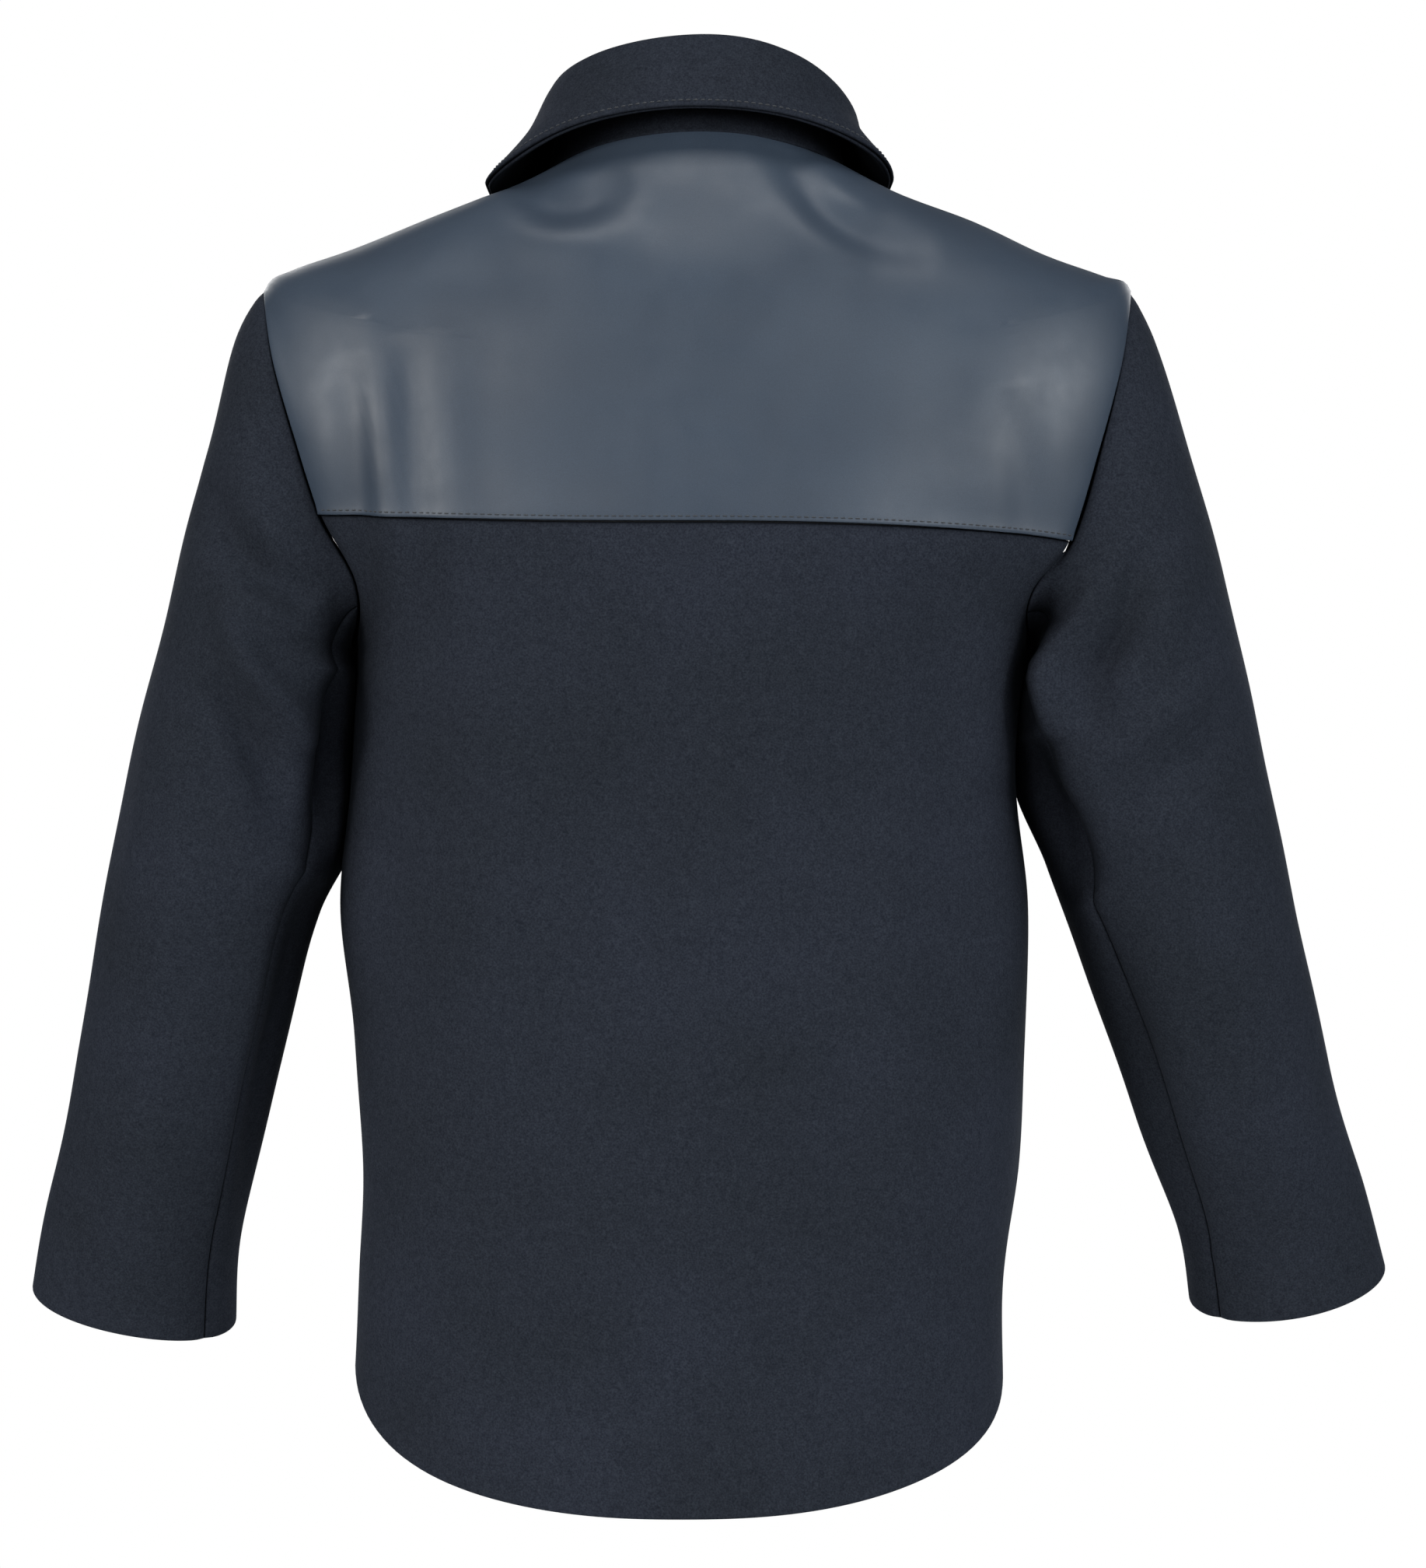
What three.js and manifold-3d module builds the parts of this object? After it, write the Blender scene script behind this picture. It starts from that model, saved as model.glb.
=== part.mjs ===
// Donkey-type work jacket, men's size large: wool body and sleeves, leather-look yoke, turned-down collar.
// Millimetres, +Z up, the front faces -Y and the wearer's left is +X.
// The jacket is drawn about its own centre line, and the whole group is then moved so that the
// middle of the hang loop is the origin.

import * as THREE from 'three';
import { mergeVertices } from 'three/addons/utils/BufferGeometryUtils.js';
import Module from 'manifold-3d';

const wasm = await Module();
wasm.setup();

// ---- driving dimensions -------------------------------------------------------------------------

const WOOL = 3.0; // melton panel thickness
const HIDE = 2.0; // yoke thickness
const LINING = 1.2;
const FACING = 2.0;
const LABEL = 0.8;
const GAP = 0.4; // clearance between two layers
const LABEL_GAP = 1.2; // the label's grid is coarser than the facing's, so it stands further off
const POCKET_GAP = 0.9; // the pocket's grid is finer than the front's
const FRONT_GAP = 8; // between the two open front edges
const FACING_WIDTH = 72;

// Rings around the body, from the neck seam down to the hem:
// half width, depth behind, depth in front, squareness behind, squareness in front,
// height at the back, at the wearer's left side, at the right side, at the front,
// sharpness of the change of height, its sharpness behind the right side, shift towards the left
const BODY_RINGS = [
  [88, 60, 84, 2.0, 2.0, 2, -16, -16, -96, 1.6, 1.6, -7],
  [122, 74, 96, 2.0, 2.0, -22, -30, -30, -112, 1.6, 1.6, -7],
  [163, 86, 106, 2.1, 2.1, -48, -45, -44, -130, 1.6, 1.6, -7],
  [205, 96, 114, 2.1, 2.2, -76, -60, -63, -148, 1.6, 1.6, -7],
  [240, 103, 120, 2.2, 2.3, -104, -72, -76, -166, 1.6, 1.6, -7],
  [258, 108, 125, 2.2, 2.4, -132, -84, -85, -184, 1.6, 1.6, -7],
  [268, 111, 128, 2.2, 2.5, -160, -125, -128, -202, 1.6, 1.6, -7],
  [264, 113, 130, 2.2, 2.6, -192, -168, -180, -220, 1.6, 1.6, -6.6],
  [246, 114, 131, 2.2, 2.7, -229, -219, -241, -240, 1.6, 1.6, -5.8],
  [213, 114, 131, 2.3, 2.8, -262, -262, -270, -264, 1.6, 1.6, -4.8],
  [200, 113, 130, 2.3, 2.8, -298, -298, -298, -298, 1.6, 1.6, -3.6],
  [197.5, 112, 128, 2.3, 2.8, -370, -370, -370, -370, 1.6, 1.6, 1.3],
  [204, 111, 127, 2.3, 2.8, -450, -450, -450, -450, 1.4, 1.4, 1],
  [199, 111, 125, 2.3, 2.8, -532, -528, -528, -528, 1.2, 1.2, -2.5],
  [195, 113, 124, 2.3, 2.8, -616, -600, -602, -598, 1.0, 1.0, -3.5],
  [191, 115, 124, 2.3, 2.8, -704, -662, -666, -656, 0.9, 0.9, 2],
  [192, 117, 124, 2.3, 2.8, -794, -714, -722, -704, 0.8, 0.8, 3.5],
];
const SHOULDER_TIP = 5; // ring numbers of the levels that seams use
const BACK_YOKE_SEAM = 8;
const FRONT_YOKE_SEAM = 9;
const ARMPIT = 10;
const HEM = 16;
const ARMHOLE_SWEEP = 29; // degrees that the armhole reaches behind and before the side line
const SIDE_SEAM = 90 + 0.8 * ARMHOLE_SWEEP; // degrees round from the centre back

// Rings of the collar, from the neck seam up the stand, over the roll and down the fall
const COLLAR_RINGS = [
  [82, 54, 78, 2.0, 2.0, 5, -12, -12, -92, 1.6, 1.6, -7],
  [79, 52, 77, 2.0, 2.0, 28, 9, 6, -83, 1.6, 1.6, -7],
  [77, 52, 78, 2.0, 2.0, 47, 27, 17, -75, 1.6, 1.5, -8],
  [85, 60, 86, 2.0, 2.0, 57, 37, 25, -68, 1.6, 1.4, -9],
  [92, 68, 94, 2.0, 2.0, 50, 29, 17, -75, 1.6, 1.2, -9],
  [101, 76, 105, 2.0, 2.0, 32, 5, 3, -98, 1.7, 1.15, -5],
  [122, 83, 116, 2.0, 2.0, 12, -21, -19, -124, 1.8, 1.05, -2],
];

// Rings of each sleeve, from the armhole to the cuff:
// outer edge x and z, inner edge x and z, middle y, half depth, forward tilt in degrees
const LEFT_SLEEVE = [
  [257, -84, 200, -298, -9, 68, 0],
  [271, -114, 200, -306, -9, 70, 0],
  [285, -178, 200, -320, -8, 75, 0],
  [308, -268, 199.5, -350, -7, 77, 1],
  [332, -368, 203.5, -408, -7, 73, 3],
  [351, -462, 228, -482, -11, 66, 6],
  [369, -560, 251, -576, -24, 57, 9],
  [387, -632, 269, -652, -40, 49, 14],
  [398, -683, 275, -706, -52, 46, 17],
];
const RIGHT_SLEEVE = [
  [257, -84, 200, -298, -9, 68, 0],
  [275, -114, 203, -306, -9, 70, 0],
  [298, -178, 204, -320, -8, 75, 0],
  [323, -268, 200.5, -350, -7, 77, 1],
  [347, -368, 210, -408, -7, 73, 3],
  [366, -462, 236, -482, -11, 66, 6],
  [390, -560, 270, -576, -24, 57, 9],
  [411, -624, 297, -644, -40, 49, 14],
  [426, -671, 306, -693, -52, 47, 19],
];
const CUFF = LEFT_SLEEVE.length - 1;

const STANCE = -7; // sideways set of the neck over the hem

const BUTTON_RADIUS = 14;
const BUTTON_HEIGHT = 4.6;
const BUTTON_INSET = 22; // from the front edge to the button's middle
const BUTTON_TOP = -147; // height of the highest button
const BUTTON_PITCH = 88;
const SHANK_RADIUS = 2.2;
const SHANK_HEIGHT = 2.4;

const POCKET = { top: 13.25, bottom: 15.45, inner: 51, outer: 178, swell: 8 };
const FLAP = { top: 13.02, bottom: 13.86, inner: 46.5, outer: 181, rise: 14, thick: 3 };
const INNER_POCKET = { top: 10.6, bottom: 12.7, from: 122, to: 151, depth: 6.2, swell: 7 };
const HANG_LOOP = { half: 32, reach: 12, height: 10, thick: 1.6, z: -4 };

const COLOURS = {
  wool: [0x2b3138, 0.95],
  hide: [0x4a5663, 0.45],
  lining: [0x15181d, 0.6],
  tape: [0x1d2126, 0.8],
  label: [0x3a3f45, 0.7],
  button: [0x14161a, 0.35],
  thread: [0x20242a, 0.9],
};

// ---- geometry helpers ---------------------------------------------------------------------------

const rad = THREE.MathUtils.degToRad;
const lerp = THREE.MathUtils.lerp;
const power = (value, exponent) => Math.sign(value) * Math.abs(value) ** exponent;
const steps = (from, to, count) =>
  Array.from({ length: count + 1 }, (_, i) => lerp(from, to, i / count));

/** A row of the table between its rows, on a smooth curve through them. */
function along(table, t) {
  const i = Math.min(Math.max(Math.floor(t), 0), table.length - 2);
  const f = t - i;
  const row = (k) => table[Math.min(Math.max(k, 0), table.length - 1)];
  return table[i].map((p1, k) => {
    const p2 = row(i + 1)[k];
    const m1 = (p2 - row(i - 1)[k]) / 2;
    const m2 = (row(i + 2)[k] - p1) / 2;
    const rise = p2 - p1;
    return p1 + m1 * f + (3 * rise - 2 * m1 - m2) * f ** 2 + (m1 + m2 - 2 * rise) * f ** 3;
  });
}

/** A point of a ring. The angle is in degrees: 0 at the back, 90 at the wearer's left, 180 in front. */
function ringPoint(ring, angle) {
  const [half, behind, before, squareBehind, squareBefore, zBack, zLeft, zRight, zFront] = ring;
  const s = Math.sin(rad(angle));
  const c = Math.cos(rad(angle));
  const back = c > 0;
  const right = angle < 0;
  const [sharpness, sharpnessBehindRight, shift] = ring.slice(9);
  const sharp = back && right ? sharpnessBehindRight : sharpness;
  const zSide = right ? zRight : zLeft;
  const round = 2 / (back ? squareBehind : squareBefore);
  const z = zSide + ((back ? zBack : zFront) - zSide) * Math.abs(c) ** sharp;
  const x = half * power(s, round) + shift;
  return new THREE.Vector3(x, (back ? behind : before) * power(c, round), z);
}

const body = (level, angle) => ringPoint(along(BODY_RINGS, level), angle);
const collar = (level, angle) => ringPoint(along(COLLAR_RINGS, level), angle);

/** How far, in degrees, the armhole reaches from the side line at this level. */
function armholeReach(level) {
  const t = (level - SHOULDER_TIP) / (ARMPIT - SHOULDER_TIP);
  return t <= 0 || t >= 1 ? 0 : ARMHOLE_SWEEP * Math.sqrt(1 - (2 * t - 1) ** 2);
}

/** The angle at which the front of this ring is at a distance from the centre line. */
function frontAngle(level, distance) {
  const [half, , , , square] = along(BODY_RINGS, level);
  return 180 - THREE.MathUtils.radToDeg(Math.asin((distance / half) ** (square / 2)));
}

/** A point of a sleeve drawn on the left: turn 0 is its outer line, 90 its back, 180 its inner line. */
function arm(table, t, turn) {
  const [xOut, zOut, xIn, zIn, yMid, depth, tilt] = along(table, t);
  const c = Math.cos(rad(turn));
  const s = depth * Math.sin(rad(turn));
  return new THREE.Vector3(
    (xOut + xIn) / 2 + ((xOut - xIn) / 2) * c,
    yMid + s * Math.cos(rad(tilt)),
    (zOut + zIn) / 2 + ((zOut - zIn) / 2) * c - s * Math.sin(rad(tilt)),
  );
}

/** The armhole seam as a closed curve, with the same turns as the sleeve. */
function armhole(side, turn) {
  const level = lerp(SHOULDER_TIP, ARMPIT, (1 - Math.cos(rad(turn))) / 2);
  return body(level, side * (90 - ARMHOLE_SWEEP * Math.sin(rad(turn))));
}

/** A point of either sleeve. Its head takes the armhole's shape, which fades out down the arm. */
function sleeve(side, t, turn) {
  const table = side > 0 ? LEFT_SLEEVE : RIGHT_SLEEVE;
  const flip = new THREE.Vector3(side, 1, 1);
  const seam = armhole(side, turn).sub(arm(table, 0, turn).multiply(flip));
  return arm(table, t, turn).multiply(flip).addScaledVector(seam, Math.max(0, 1 - t / 3.5) ** 2);
}

/** The surface's normal at (a, b), on the side that turn +1 or -1 chooses. */
function normalAt(surface, a, b, turn) {
  const step = 0.02;
  const da = surface(a + step, b).sub(surface(a - step, b));
  const db = surface(a, b + 20 * step).sub(surface(a, b - 20 * step));
  return db.cross(da).normalize().multiplyScalar(turn);
}

/**
 * A closed sheet over a grid of (row, column) values. outer and inner give how far its two faces lie
 * inside the surface. place turns a row and column number into the surface's two coordinates, and a
 * cell that open() names is left out. Places that coincide become one vertex.
 */
function sheet({ surface, rows, columns, outer, inner, turn = 1, place, open = () => false }) {
  const at = place ?? ((r, c) => [rows[r], columns[c]]);
  const points = [];
  const ids = new Map();
  const idOf = (r, c) => {
    const [a, b] = at(r, c);
    const point = surface(a, b);
    const key = point.toArray().map((v) => v.toFixed(2)).join();
    if (!ids.has(key)) {
      const normal = normalAt(surface, a, b, turn);
      const depth = (d) => (typeof d === 'function' ? d(r, c) : d);
      ids.set(key, points.length);
      points.push([
        point.clone().addScaledVector(normal, -depth(outer)),
        point.clone().addScaledVector(normal, -depth(inner)),
      ]);
    }
    return ids.get(key);
  };

  const faces = [];
  for (let r = 0; r + 1 < rows.length; r++) {
    for (let c = 0; c + 1 < columns.length; c++) {
      if (open(r, c)) continue;
      const [p, q, s, t] = [idOf(r, c), idOf(r, c + 1), idOf(r + 1, c + 1), idOf(r + 1, c)];
      for (const face of [[p, q, s], [p, s, t]]) {
        if (new Set(face).size === 3) faces.push(face);
      }
    }
  }

  const count = points.length;
  const edges = new Set(faces.flatMap(([p, q, s]) => [`${p},${q}`, `${q},${s}`, `${s},${p}`]));
  const rim = [...edges]
    .map((edge) => edge.split(',').map(Number))
    .filter(([p, q]) => !edges.has(`${q},${p}`));
  const index = [
    ...faces.flat(),
    ...faces.flatMap(([p, q, s]) => [p + count, s + count, q + count]),
    ...rim.flatMap(([p, q]) => [q, p, p + count, q, p + count, q + count]),
  ];
  const vertices = [...points.map((pair) => pair[0]), ...points.map((pair) => pair[1])];
  return closedGeometry(vertices, index);
}

/** A geometry from points and triangles, turned so that its faces point out. */
function closedGeometry(vertices, index) {
  let volume = 0;
  for (let i = 0; i < index.length; i += 3) {
    const [a, b, c] = [vertices[index[i]], vertices[index[i + 1]], vertices[index[i + 2]]];
    volume += a.dot(b.clone().cross(c));
  }
  const geometry = new THREE.BufferGeometry().setFromPoints(vertices);
  geometry.setIndex(volume > 0 ? index : index.toReversed());
  geometry.computeVertexNormals();
  return geometry;
}

/** A geometry as a manifold-3d solid, for a boolean cut. */
function solid(geometry) {
  geometry.deleteAttribute('normal');
  geometry.deleteAttribute('uv');
  const merged = mergeVertices(geometry, 1e-3);
  return new wasm.Manifold(new wasm.Mesh({
    numProp: 3,
    vertProperties: merged.getAttribute('position').array,
    triVerts: Uint32Array.from(merged.index.array),
  }));
}

/** A manifold-3d solid as a geometry. */
function geometryOf(manifold) {
  const mesh = manifold.getMesh();
  const geometry = new THREE.BufferGeometry();
  geometry.setAttribute('position', new THREE.BufferAttribute(mesh.vertProperties, 3));
  geometry.setIndex(new THREE.BufferAttribute(mesh.triVerts, 1));
  geometry.computeVertexNormals();
  return geometry;
}

const group = new THREE.Group();

function add(name, geometry, colour) {
  const [color, roughness] = COLOURS[colour];
  const mesh = new THREE.Mesh(geometry, new THREE.MeshStandardMaterial({ color, roughness, metalness: 0 }));
  mesh.name = name;
  group.add(mesh);
  return mesh;
}

const SIDES = [['left', 1], ['right', -1]];

// ---- back ---------------------------------------------------------------------------------------

const SEAM = 0.012; // half of a seam's gap, in ring spacings
const ARMHOLE_LEVELS = [5, 5.15, 5.6, 6.3, 7.2];
const BACK_COLUMNS = steps(-90, 90, 12);

/** Columns across the back that stop at the shoulder seam, and lower down at the armhole. */
const backPlace = (rows, trim) => (r, c) => {
  const edge = 90 - Math.max(armholeReach(rows[r]), trim);
  return [rows[r], (BACK_COLUMNS[c] * edge) / 90];
};

const yokeRows = [0, 1, 2, 3, 4, ...ARMHOLE_LEVELS, BACK_YOKE_SEAM - SEAM];
add('back_yoke', sheet({
  surface: body,
  rows: yokeRows,
  columns: BACK_COLUMNS,
  place: backPlace(yokeRows, 0.25),
  outer: 0,
  inner: HIDE,
}), 'hide');

// The wool back wraps round the side to a seam set forward of it, so its grid has two more strips
// that begin under the armholes. The column at 90 degrees is there twice: behind and before the armhole.
const wrap = steps(90, SIDE_SEAM, 2);
const WRAP_COLUMNS = [...wrap.toReversed().map((a) => -a), ...BACK_COLUMNS, ...wrap];

function wrappedBack({ rows, outer, inner }) {
  const strip = wrap.length;
  const last = WRAP_COLUMNS.length - 1;
  const place = (r, c) => {
    const reach = armholeReach(rows[r]);
    const angle = WRAP_COLUMNS[c];
    const inStrip = c < strip || c > last - strip;
    if (!inStrip) return [rows[r], (angle * (90 - reach)) / 90];
    const front = Math.min(90 + reach, SIDE_SEAM);
    const share = (Math.abs(angle) - 90) / (SIDE_SEAM - 90);
    return [rows[r], Math.sign(angle) * lerp(front, SIDE_SEAM - 0.2, share)];
  };
  const open = (r, c) => {
    const between = c === strip - 1 || c === last - strip;
    const inStrip = c < strip - 1 || c > last - strip;
    return between || (inStrip && rows[r] < FRONT_YOKE_SEAM);
  };
  return sheet({ surface: body, rows, columns: WRAP_COLUMNS, place, open, outer, inner });
}

const LOW_ROWS = [9, 9.45, 9.8, ARMPIT, 11, 12, 13, 14, 15];
add('back_panel', wrappedBack({
  rows: [BACK_YOKE_SEAM + SEAM, 8.5, ...LOW_ROWS, 15.6, HEM],
  outer: 0,
  inner: WOOL,
}), 'wool');
add('back_lining', wrappedBack({
  rows: [1.15, 2, 3, 4, ...ARMHOLE_LEVELS, 8, 8.5, ...LOW_ROWS, 15.5],
  outer: WOOL + GAP,
  inner: WOOL + GAP + LINING,
}), 'lining');

const neckRows = [0.06, 0.55, 1.1];
add('back_neck_facing', sheet({
  surface: body,
  rows: neckRows,
  columns: BACK_COLUMNS,
  place: backPlace(neckRows, 4),
  outer: WOOL + GAP,
  inner: WOOL + GAP + FACING,
}), 'wool');

// ---- fronts -------------------------------------------------------------------------------------

const LINING_COLUMNS = 6; // strips between the side and the facing's inner edge
const FACING_COLUMNS = 3; // strips between there and the front edge

const frontEdge = (level) => frontAngle(level, FRONT_GAP / 2);
const facingEdge = (level) => frontAngle(level, FRONT_GAP / 2 + FACING_WIDTH);
const chestEdge = (level) => 90 + Math.max(armholeReach(level), 0.25);
const sideSeam = () => SIDE_SEAM + 0.2;

/** A layer of one front. All its layers share one grid, so that they stay parallel. */
function frontLayer({ side, rows, start, columns, outer, inner }) {
  const place = (r, c) => {
    const [level, k] = [rows[r], columns[c]];
    const fold = facingEdge(level);
    const angle = k < LINING_COLUMNS
      ? lerp(start(level), fold, k / LINING_COLUMNS)
      : lerp(fold, frontEdge(level), (k - LINING_COLUMNS) / FACING_COLUMNS);
    return [level, side * angle];
  };
  return sheet({ surface: body, rows, columns, place, outer, inner });
}

const allColumns = steps(0, LINING_COLUMNS + FACING_COLUMNS, LINING_COLUMNS + FACING_COLUMNS);
const facingColumns = allColumns.slice(LINING_COLUMNS);
const liningColumns = [...allColumns.slice(0, LINING_COLUMNS), LINING_COLUMNS - 0.04];
const chestRows = [0, 1, 2, 3, 4, ...ARMHOLE_LEVELS, 8.25, FRONT_YOKE_SEAM - SEAM];
const chestInsideRows = [0.15, ...chestRows.slice(1)];
// The inner layers of the fronts begin lower, because they pass under the yoke's edge as the fronts open.
const FRONT_TOPS = [FRONT_YOKE_SEAM + 0.04, 9.14];
const lowFrontRows = [9.5, 10, 11, 12, 13, 14, 15];
const frontRows = [...FRONT_TOPS, ...lowFrontRows, HEM];
const facingRows = [FRONT_TOPS[1], ...lowFrontRows, 15.85];
const liningRows = [FRONT_TOPS[1], ...lowFrontRows, 15.5];
const shell = (thick) => ({ columns: allColumns, outer: 0, inner: thick });
const facing = { columns: facingColumns, outer: WOOL + GAP, inner: WOOL + GAP + FACING };
const lining = { columns: liningColumns, outer: WOOL + GAP, inner: WOOL + GAP + LINING };

for (const [name, side] of SIDES) {
  const chest = { side, rows: chestInsideRows, start: chestEdge };
  const front = { side, rows: frontRows, start: sideSeam };
  add(`front_yoke_${name}`, frontLayer({ ...chest, rows: chestRows, ...shell(HIDE) }), 'hide');
  add(`chest_facing_${name}`, frontLayer({ ...chest, ...facing }), 'wool');
  add(`chest_lining_${name}`, frontLayer({ ...chest, ...lining }), 'lining');
  add(`front_panel_${name}`, frontLayer({ ...front, ...shell(WOOL) }), 'wool');
  add(`front_facing_${name}`, frontLayer({ ...front, rows: facingRows, ...facing }), 'wool');
  add(`front_lining_${name}`, frontLayer({ ...front, rows: liningRows, ...lining }), 'lining');
}

// ---- pockets ------------------------------------------------------------------------------------

/** A patch on one front, between two distances from the front's centre line or two angles. */
function patch({ side, rows, from, to, count, outer, inner }) {
  const columns = steps(0, 1, count);
  const place = (r, c) => [rows[r], side * lerp(from(rows[r]), to(rows[r]), columns[c])];
  return sheet({ surface: body, rows, columns, place, outer, inner });
}

/** How full a patch stands at a place: 0 along its sewn sides and bottom, 1 in the middle and at its mouth. */
const fullness = (across, down) =>
  Math.sqrt(Math.max(0, Math.sin(Math.PI * across))) * Math.sqrt(Math.cos((Math.PI / 2) * down));

for (const [name, side] of SIDES) {
  const pouch = {
    side,
    from: (level) => frontAngle(level, POCKET.outer),
    to: (level) => frontAngle(level, POCKET.inner),
    count: 8,
  };
  const rows = steps(POCKET.top, POCKET.bottom, 6);
  const share = (r, c) => fullness(c / pouch.count, r / 6);
  add(`hip_pocket_${name}`, patch({
    ...pouch,
    rows,
    outer: (r, c) => -POCKET_GAP - WOOL - POCKET.swell * share(r, c),
    inner: (r, c) => -POCKET_GAP - POCKET.swell * share(r, c),
  }), 'wool');

  const lid = {
    side,
    from: (level) => frontAngle(level, FLAP.outer),
    to: (level) => frontAngle(level, FLAP.inner),
    count: 8,
  };
  const lidRows = [0, 0.1, 0.25, 0.6, 1].map((f) => lerp(FLAP.top, FLAP.bottom, f));
  const lift = (r) => [0, 0.45, 0.85, 1, 1][r] * FLAP.rise;
  add(`pocket_flap_${name}`, patch({
    ...lid,
    rows: lidRows,
    outer: (r) => -GAP - FLAP.thick - lift(r),
    inner: (r) => -GAP - lift(r),
  }), 'wool');
}

const poacherRows = steps(INNER_POCKET.top, INNER_POCKET.bottom, 5);
add('inner_pocket', patch({
  side: 1,
  rows: poacherRows,
  from: () => INNER_POCKET.from,
  to: () => INNER_POCKET.to,
  count: 6,
  outer: (r, c) => INNER_POCKET.depth + INNER_POCKET.swell * fullness(c / 6, r / 5),
  inner: (r, c) => INNER_POCKET.depth + LINING + INNER_POCKET.swell * fullness(c / 6, r / 5),
}), 'lining');

// ---- collar -------------------------------------------------------------------------------------

const COLLAR_ROWS = [0, 1, 2, 2.5, 3, 3.5, 4, 6];
const COLLAR_THICK = 2.4;
/** The collar's front ends slope back from the neck seam to its points. */
const collarEnd = (level) => 176 - 1.6 * level;
for (const [name, outer] of [['top_collar', 0], ['under_collar', COLLAR_THICK + GAP]]) {
  const columns = steps(-1, 1, 18);
  add(name, sheet({
    surface: collar,
    rows: COLLAR_ROWS,
    columns,
    place: (r, c) => [COLLAR_ROWS[r], columns[c] * collarEnd(COLLAR_ROWS[r])],
    outer,
    inner: outer + COLLAR_THICK,
  }), 'wool');
}

// ---- sleeves ------------------------------------------------------------------------------------

const SLEEVE_ROWS = [0.32, 0.5, 1, 2, 3, 4, 5, 6, 7, 7.28, CUFF];
const TOP_SLEEVE = steps(-120, 140, 13);
const UNDER_SLEEVE = steps(140, 240, 5);
const WHOLE_SLEEVE = [...TOP_SLEEVE, ...UNDER_SLEEVE.slice(1, -1), TOP_SLEEVE[0]];

for (const [name, side] of SIDES) {
  const tube = { surface: (t, turn) => sleeve(side, t, turn), rows: SLEEVE_ROWS, turn: -side };
  const cut = (columns) => columns.map((a, i) =>
    a + (i === 0 ? 0.3 : 0) - (i === columns.length - 1 ? 0.3 : 0));
  add(`top_sleeve_${name}`, sheet({
    ...tube, columns: cut(TOP_SLEEVE), outer: 0, inner: WOOL,
  }), 'wool');
  add(`under_sleeve_${name}`, sheet({
    ...tube, columns: cut(UNDER_SLEEVE), outer: 0, inner: WOOL,
  }), 'wool');
  add(`sleeve_lining_${name}`, sheet({
    ...tube,
    rows: [...SLEEVE_ROWS.slice(0, -2), 7.25],
    columns: WHOLE_SLEEVE,
    outer: WOOL + GAP,
    inner: WOOL + GAP + LINING,
  }), 'lining');
  add(`cuff_facing_${name}`, sheet({
    ...tube,
    rows: [7.31, 7.6, 7.95],
    columns: WHOLE_SLEEVE,
    outer: WOOL + GAP,
    inner: WOOL + GAP + FACING,
  }), 'wool');
}

// ---- buttons ------------------------------------------------------------------------------------

/** A four-hole coat button with a raised rim, standing on the XY plane. */
function button() {
  const profile = [
    [0, 0], [BUTTON_RADIUS - 3, 0], [BUTTON_RADIUS, 1.4], [BUTTON_RADIUS, 3.2],
    [BUTTON_RADIUS - 1.6, BUTTON_HEIGHT], [BUTTON_RADIUS - 4, 3.4], [0, 2.8],
  ];
  const disc = new THREE.LatheGeometry(profile.map(([r, h]) => new THREE.Vector2(r, h)), 16);
  let shape = solid(disc.rotateX(Math.PI / 2));
  for (const [x, y] of [[1, 1], [1, -1], [-1, 1], [-1, -1]]) {
    const drill = new THREE.CylinderGeometry(1.3, 1.3, 20, 6).rotateX(Math.PI / 2);
    shape = shape.subtract(solid(drill.translate(x * 2.6, y * 2.6, 0)));
  }
  return geometryOf(shape);
}

const buttonShape = button();
const shankShape = new THREE.CylinderGeometry(SHANK_RADIUS, SHANK_RADIUS, SHANK_HEIGHT, 8)
  .rotateX(Math.PI / 2)
  .translate(0, 0, SHANK_HEIGHT / 2);

/** The level at which the front edge is at this height. */
function frontLevelAt(height) {
  let [low, high] = [0, HEM];
  while (high - low > 1e-4) {
    const middle = (low + high) / 2;
    if (body(middle, 178).z > height) low = middle;
    else high = middle;
  }
  return low;
}

for (let i = 0; i < 5; i++) {
  const level = frontLevelAt(BUTTON_TOP - i * BUTTON_PITCH);
  const angle = -frontAngle(level, FRONT_GAP / 2 + BUTTON_INSET);
  const normal = normalAt(body, level, angle, 1);
  const foot = body(level, angle).addScaledVector(normal, GAP);
  const turn = new THREE.Quaternion().setFromUnitVectors(new THREE.Vector3(0, 0, 1), normal);
  const shank = add(`button_shank_${i + 1}`, shankShape, 'thread');
  shank.position.copy(foot);
  shank.quaternion.copy(turn);
  const disc = add(`button_${i + 1}`, buttonShape, 'button');
  disc.position.copy(foot.clone().addScaledVector(normal, SHANK_HEIGHT + GAP));
  disc.quaternion.copy(turn);
}

// ---- hang loop and label ------------------------------------------------------------------------

/** The loop's tape bows away from the neck facing between its two sewn ends. */
function loopTape(z, share) {
  const x = HANG_LOOP.half * share;
  const facing = 53.2 * Math.sqrt(1 - (x / 82) ** 2);
  const y = facing - HANG_LOOP.reach * power(Math.cos((Math.PI / 2) * share), 0.8);
  return new THREE.Vector3(x + STANCE, y, HANG_LOOP.z + z);
}

add('hang_loop', sheet({
  surface: (z, share) => loopTape(z, share / 100),
  rows: [-HANG_LOOP.height / 2, HANG_LOOP.height / 2],
  columns: steps(-100, 100, 10),
  outer: 0,
  inner: HANG_LOOP.thick,
}), 'tape');

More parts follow.
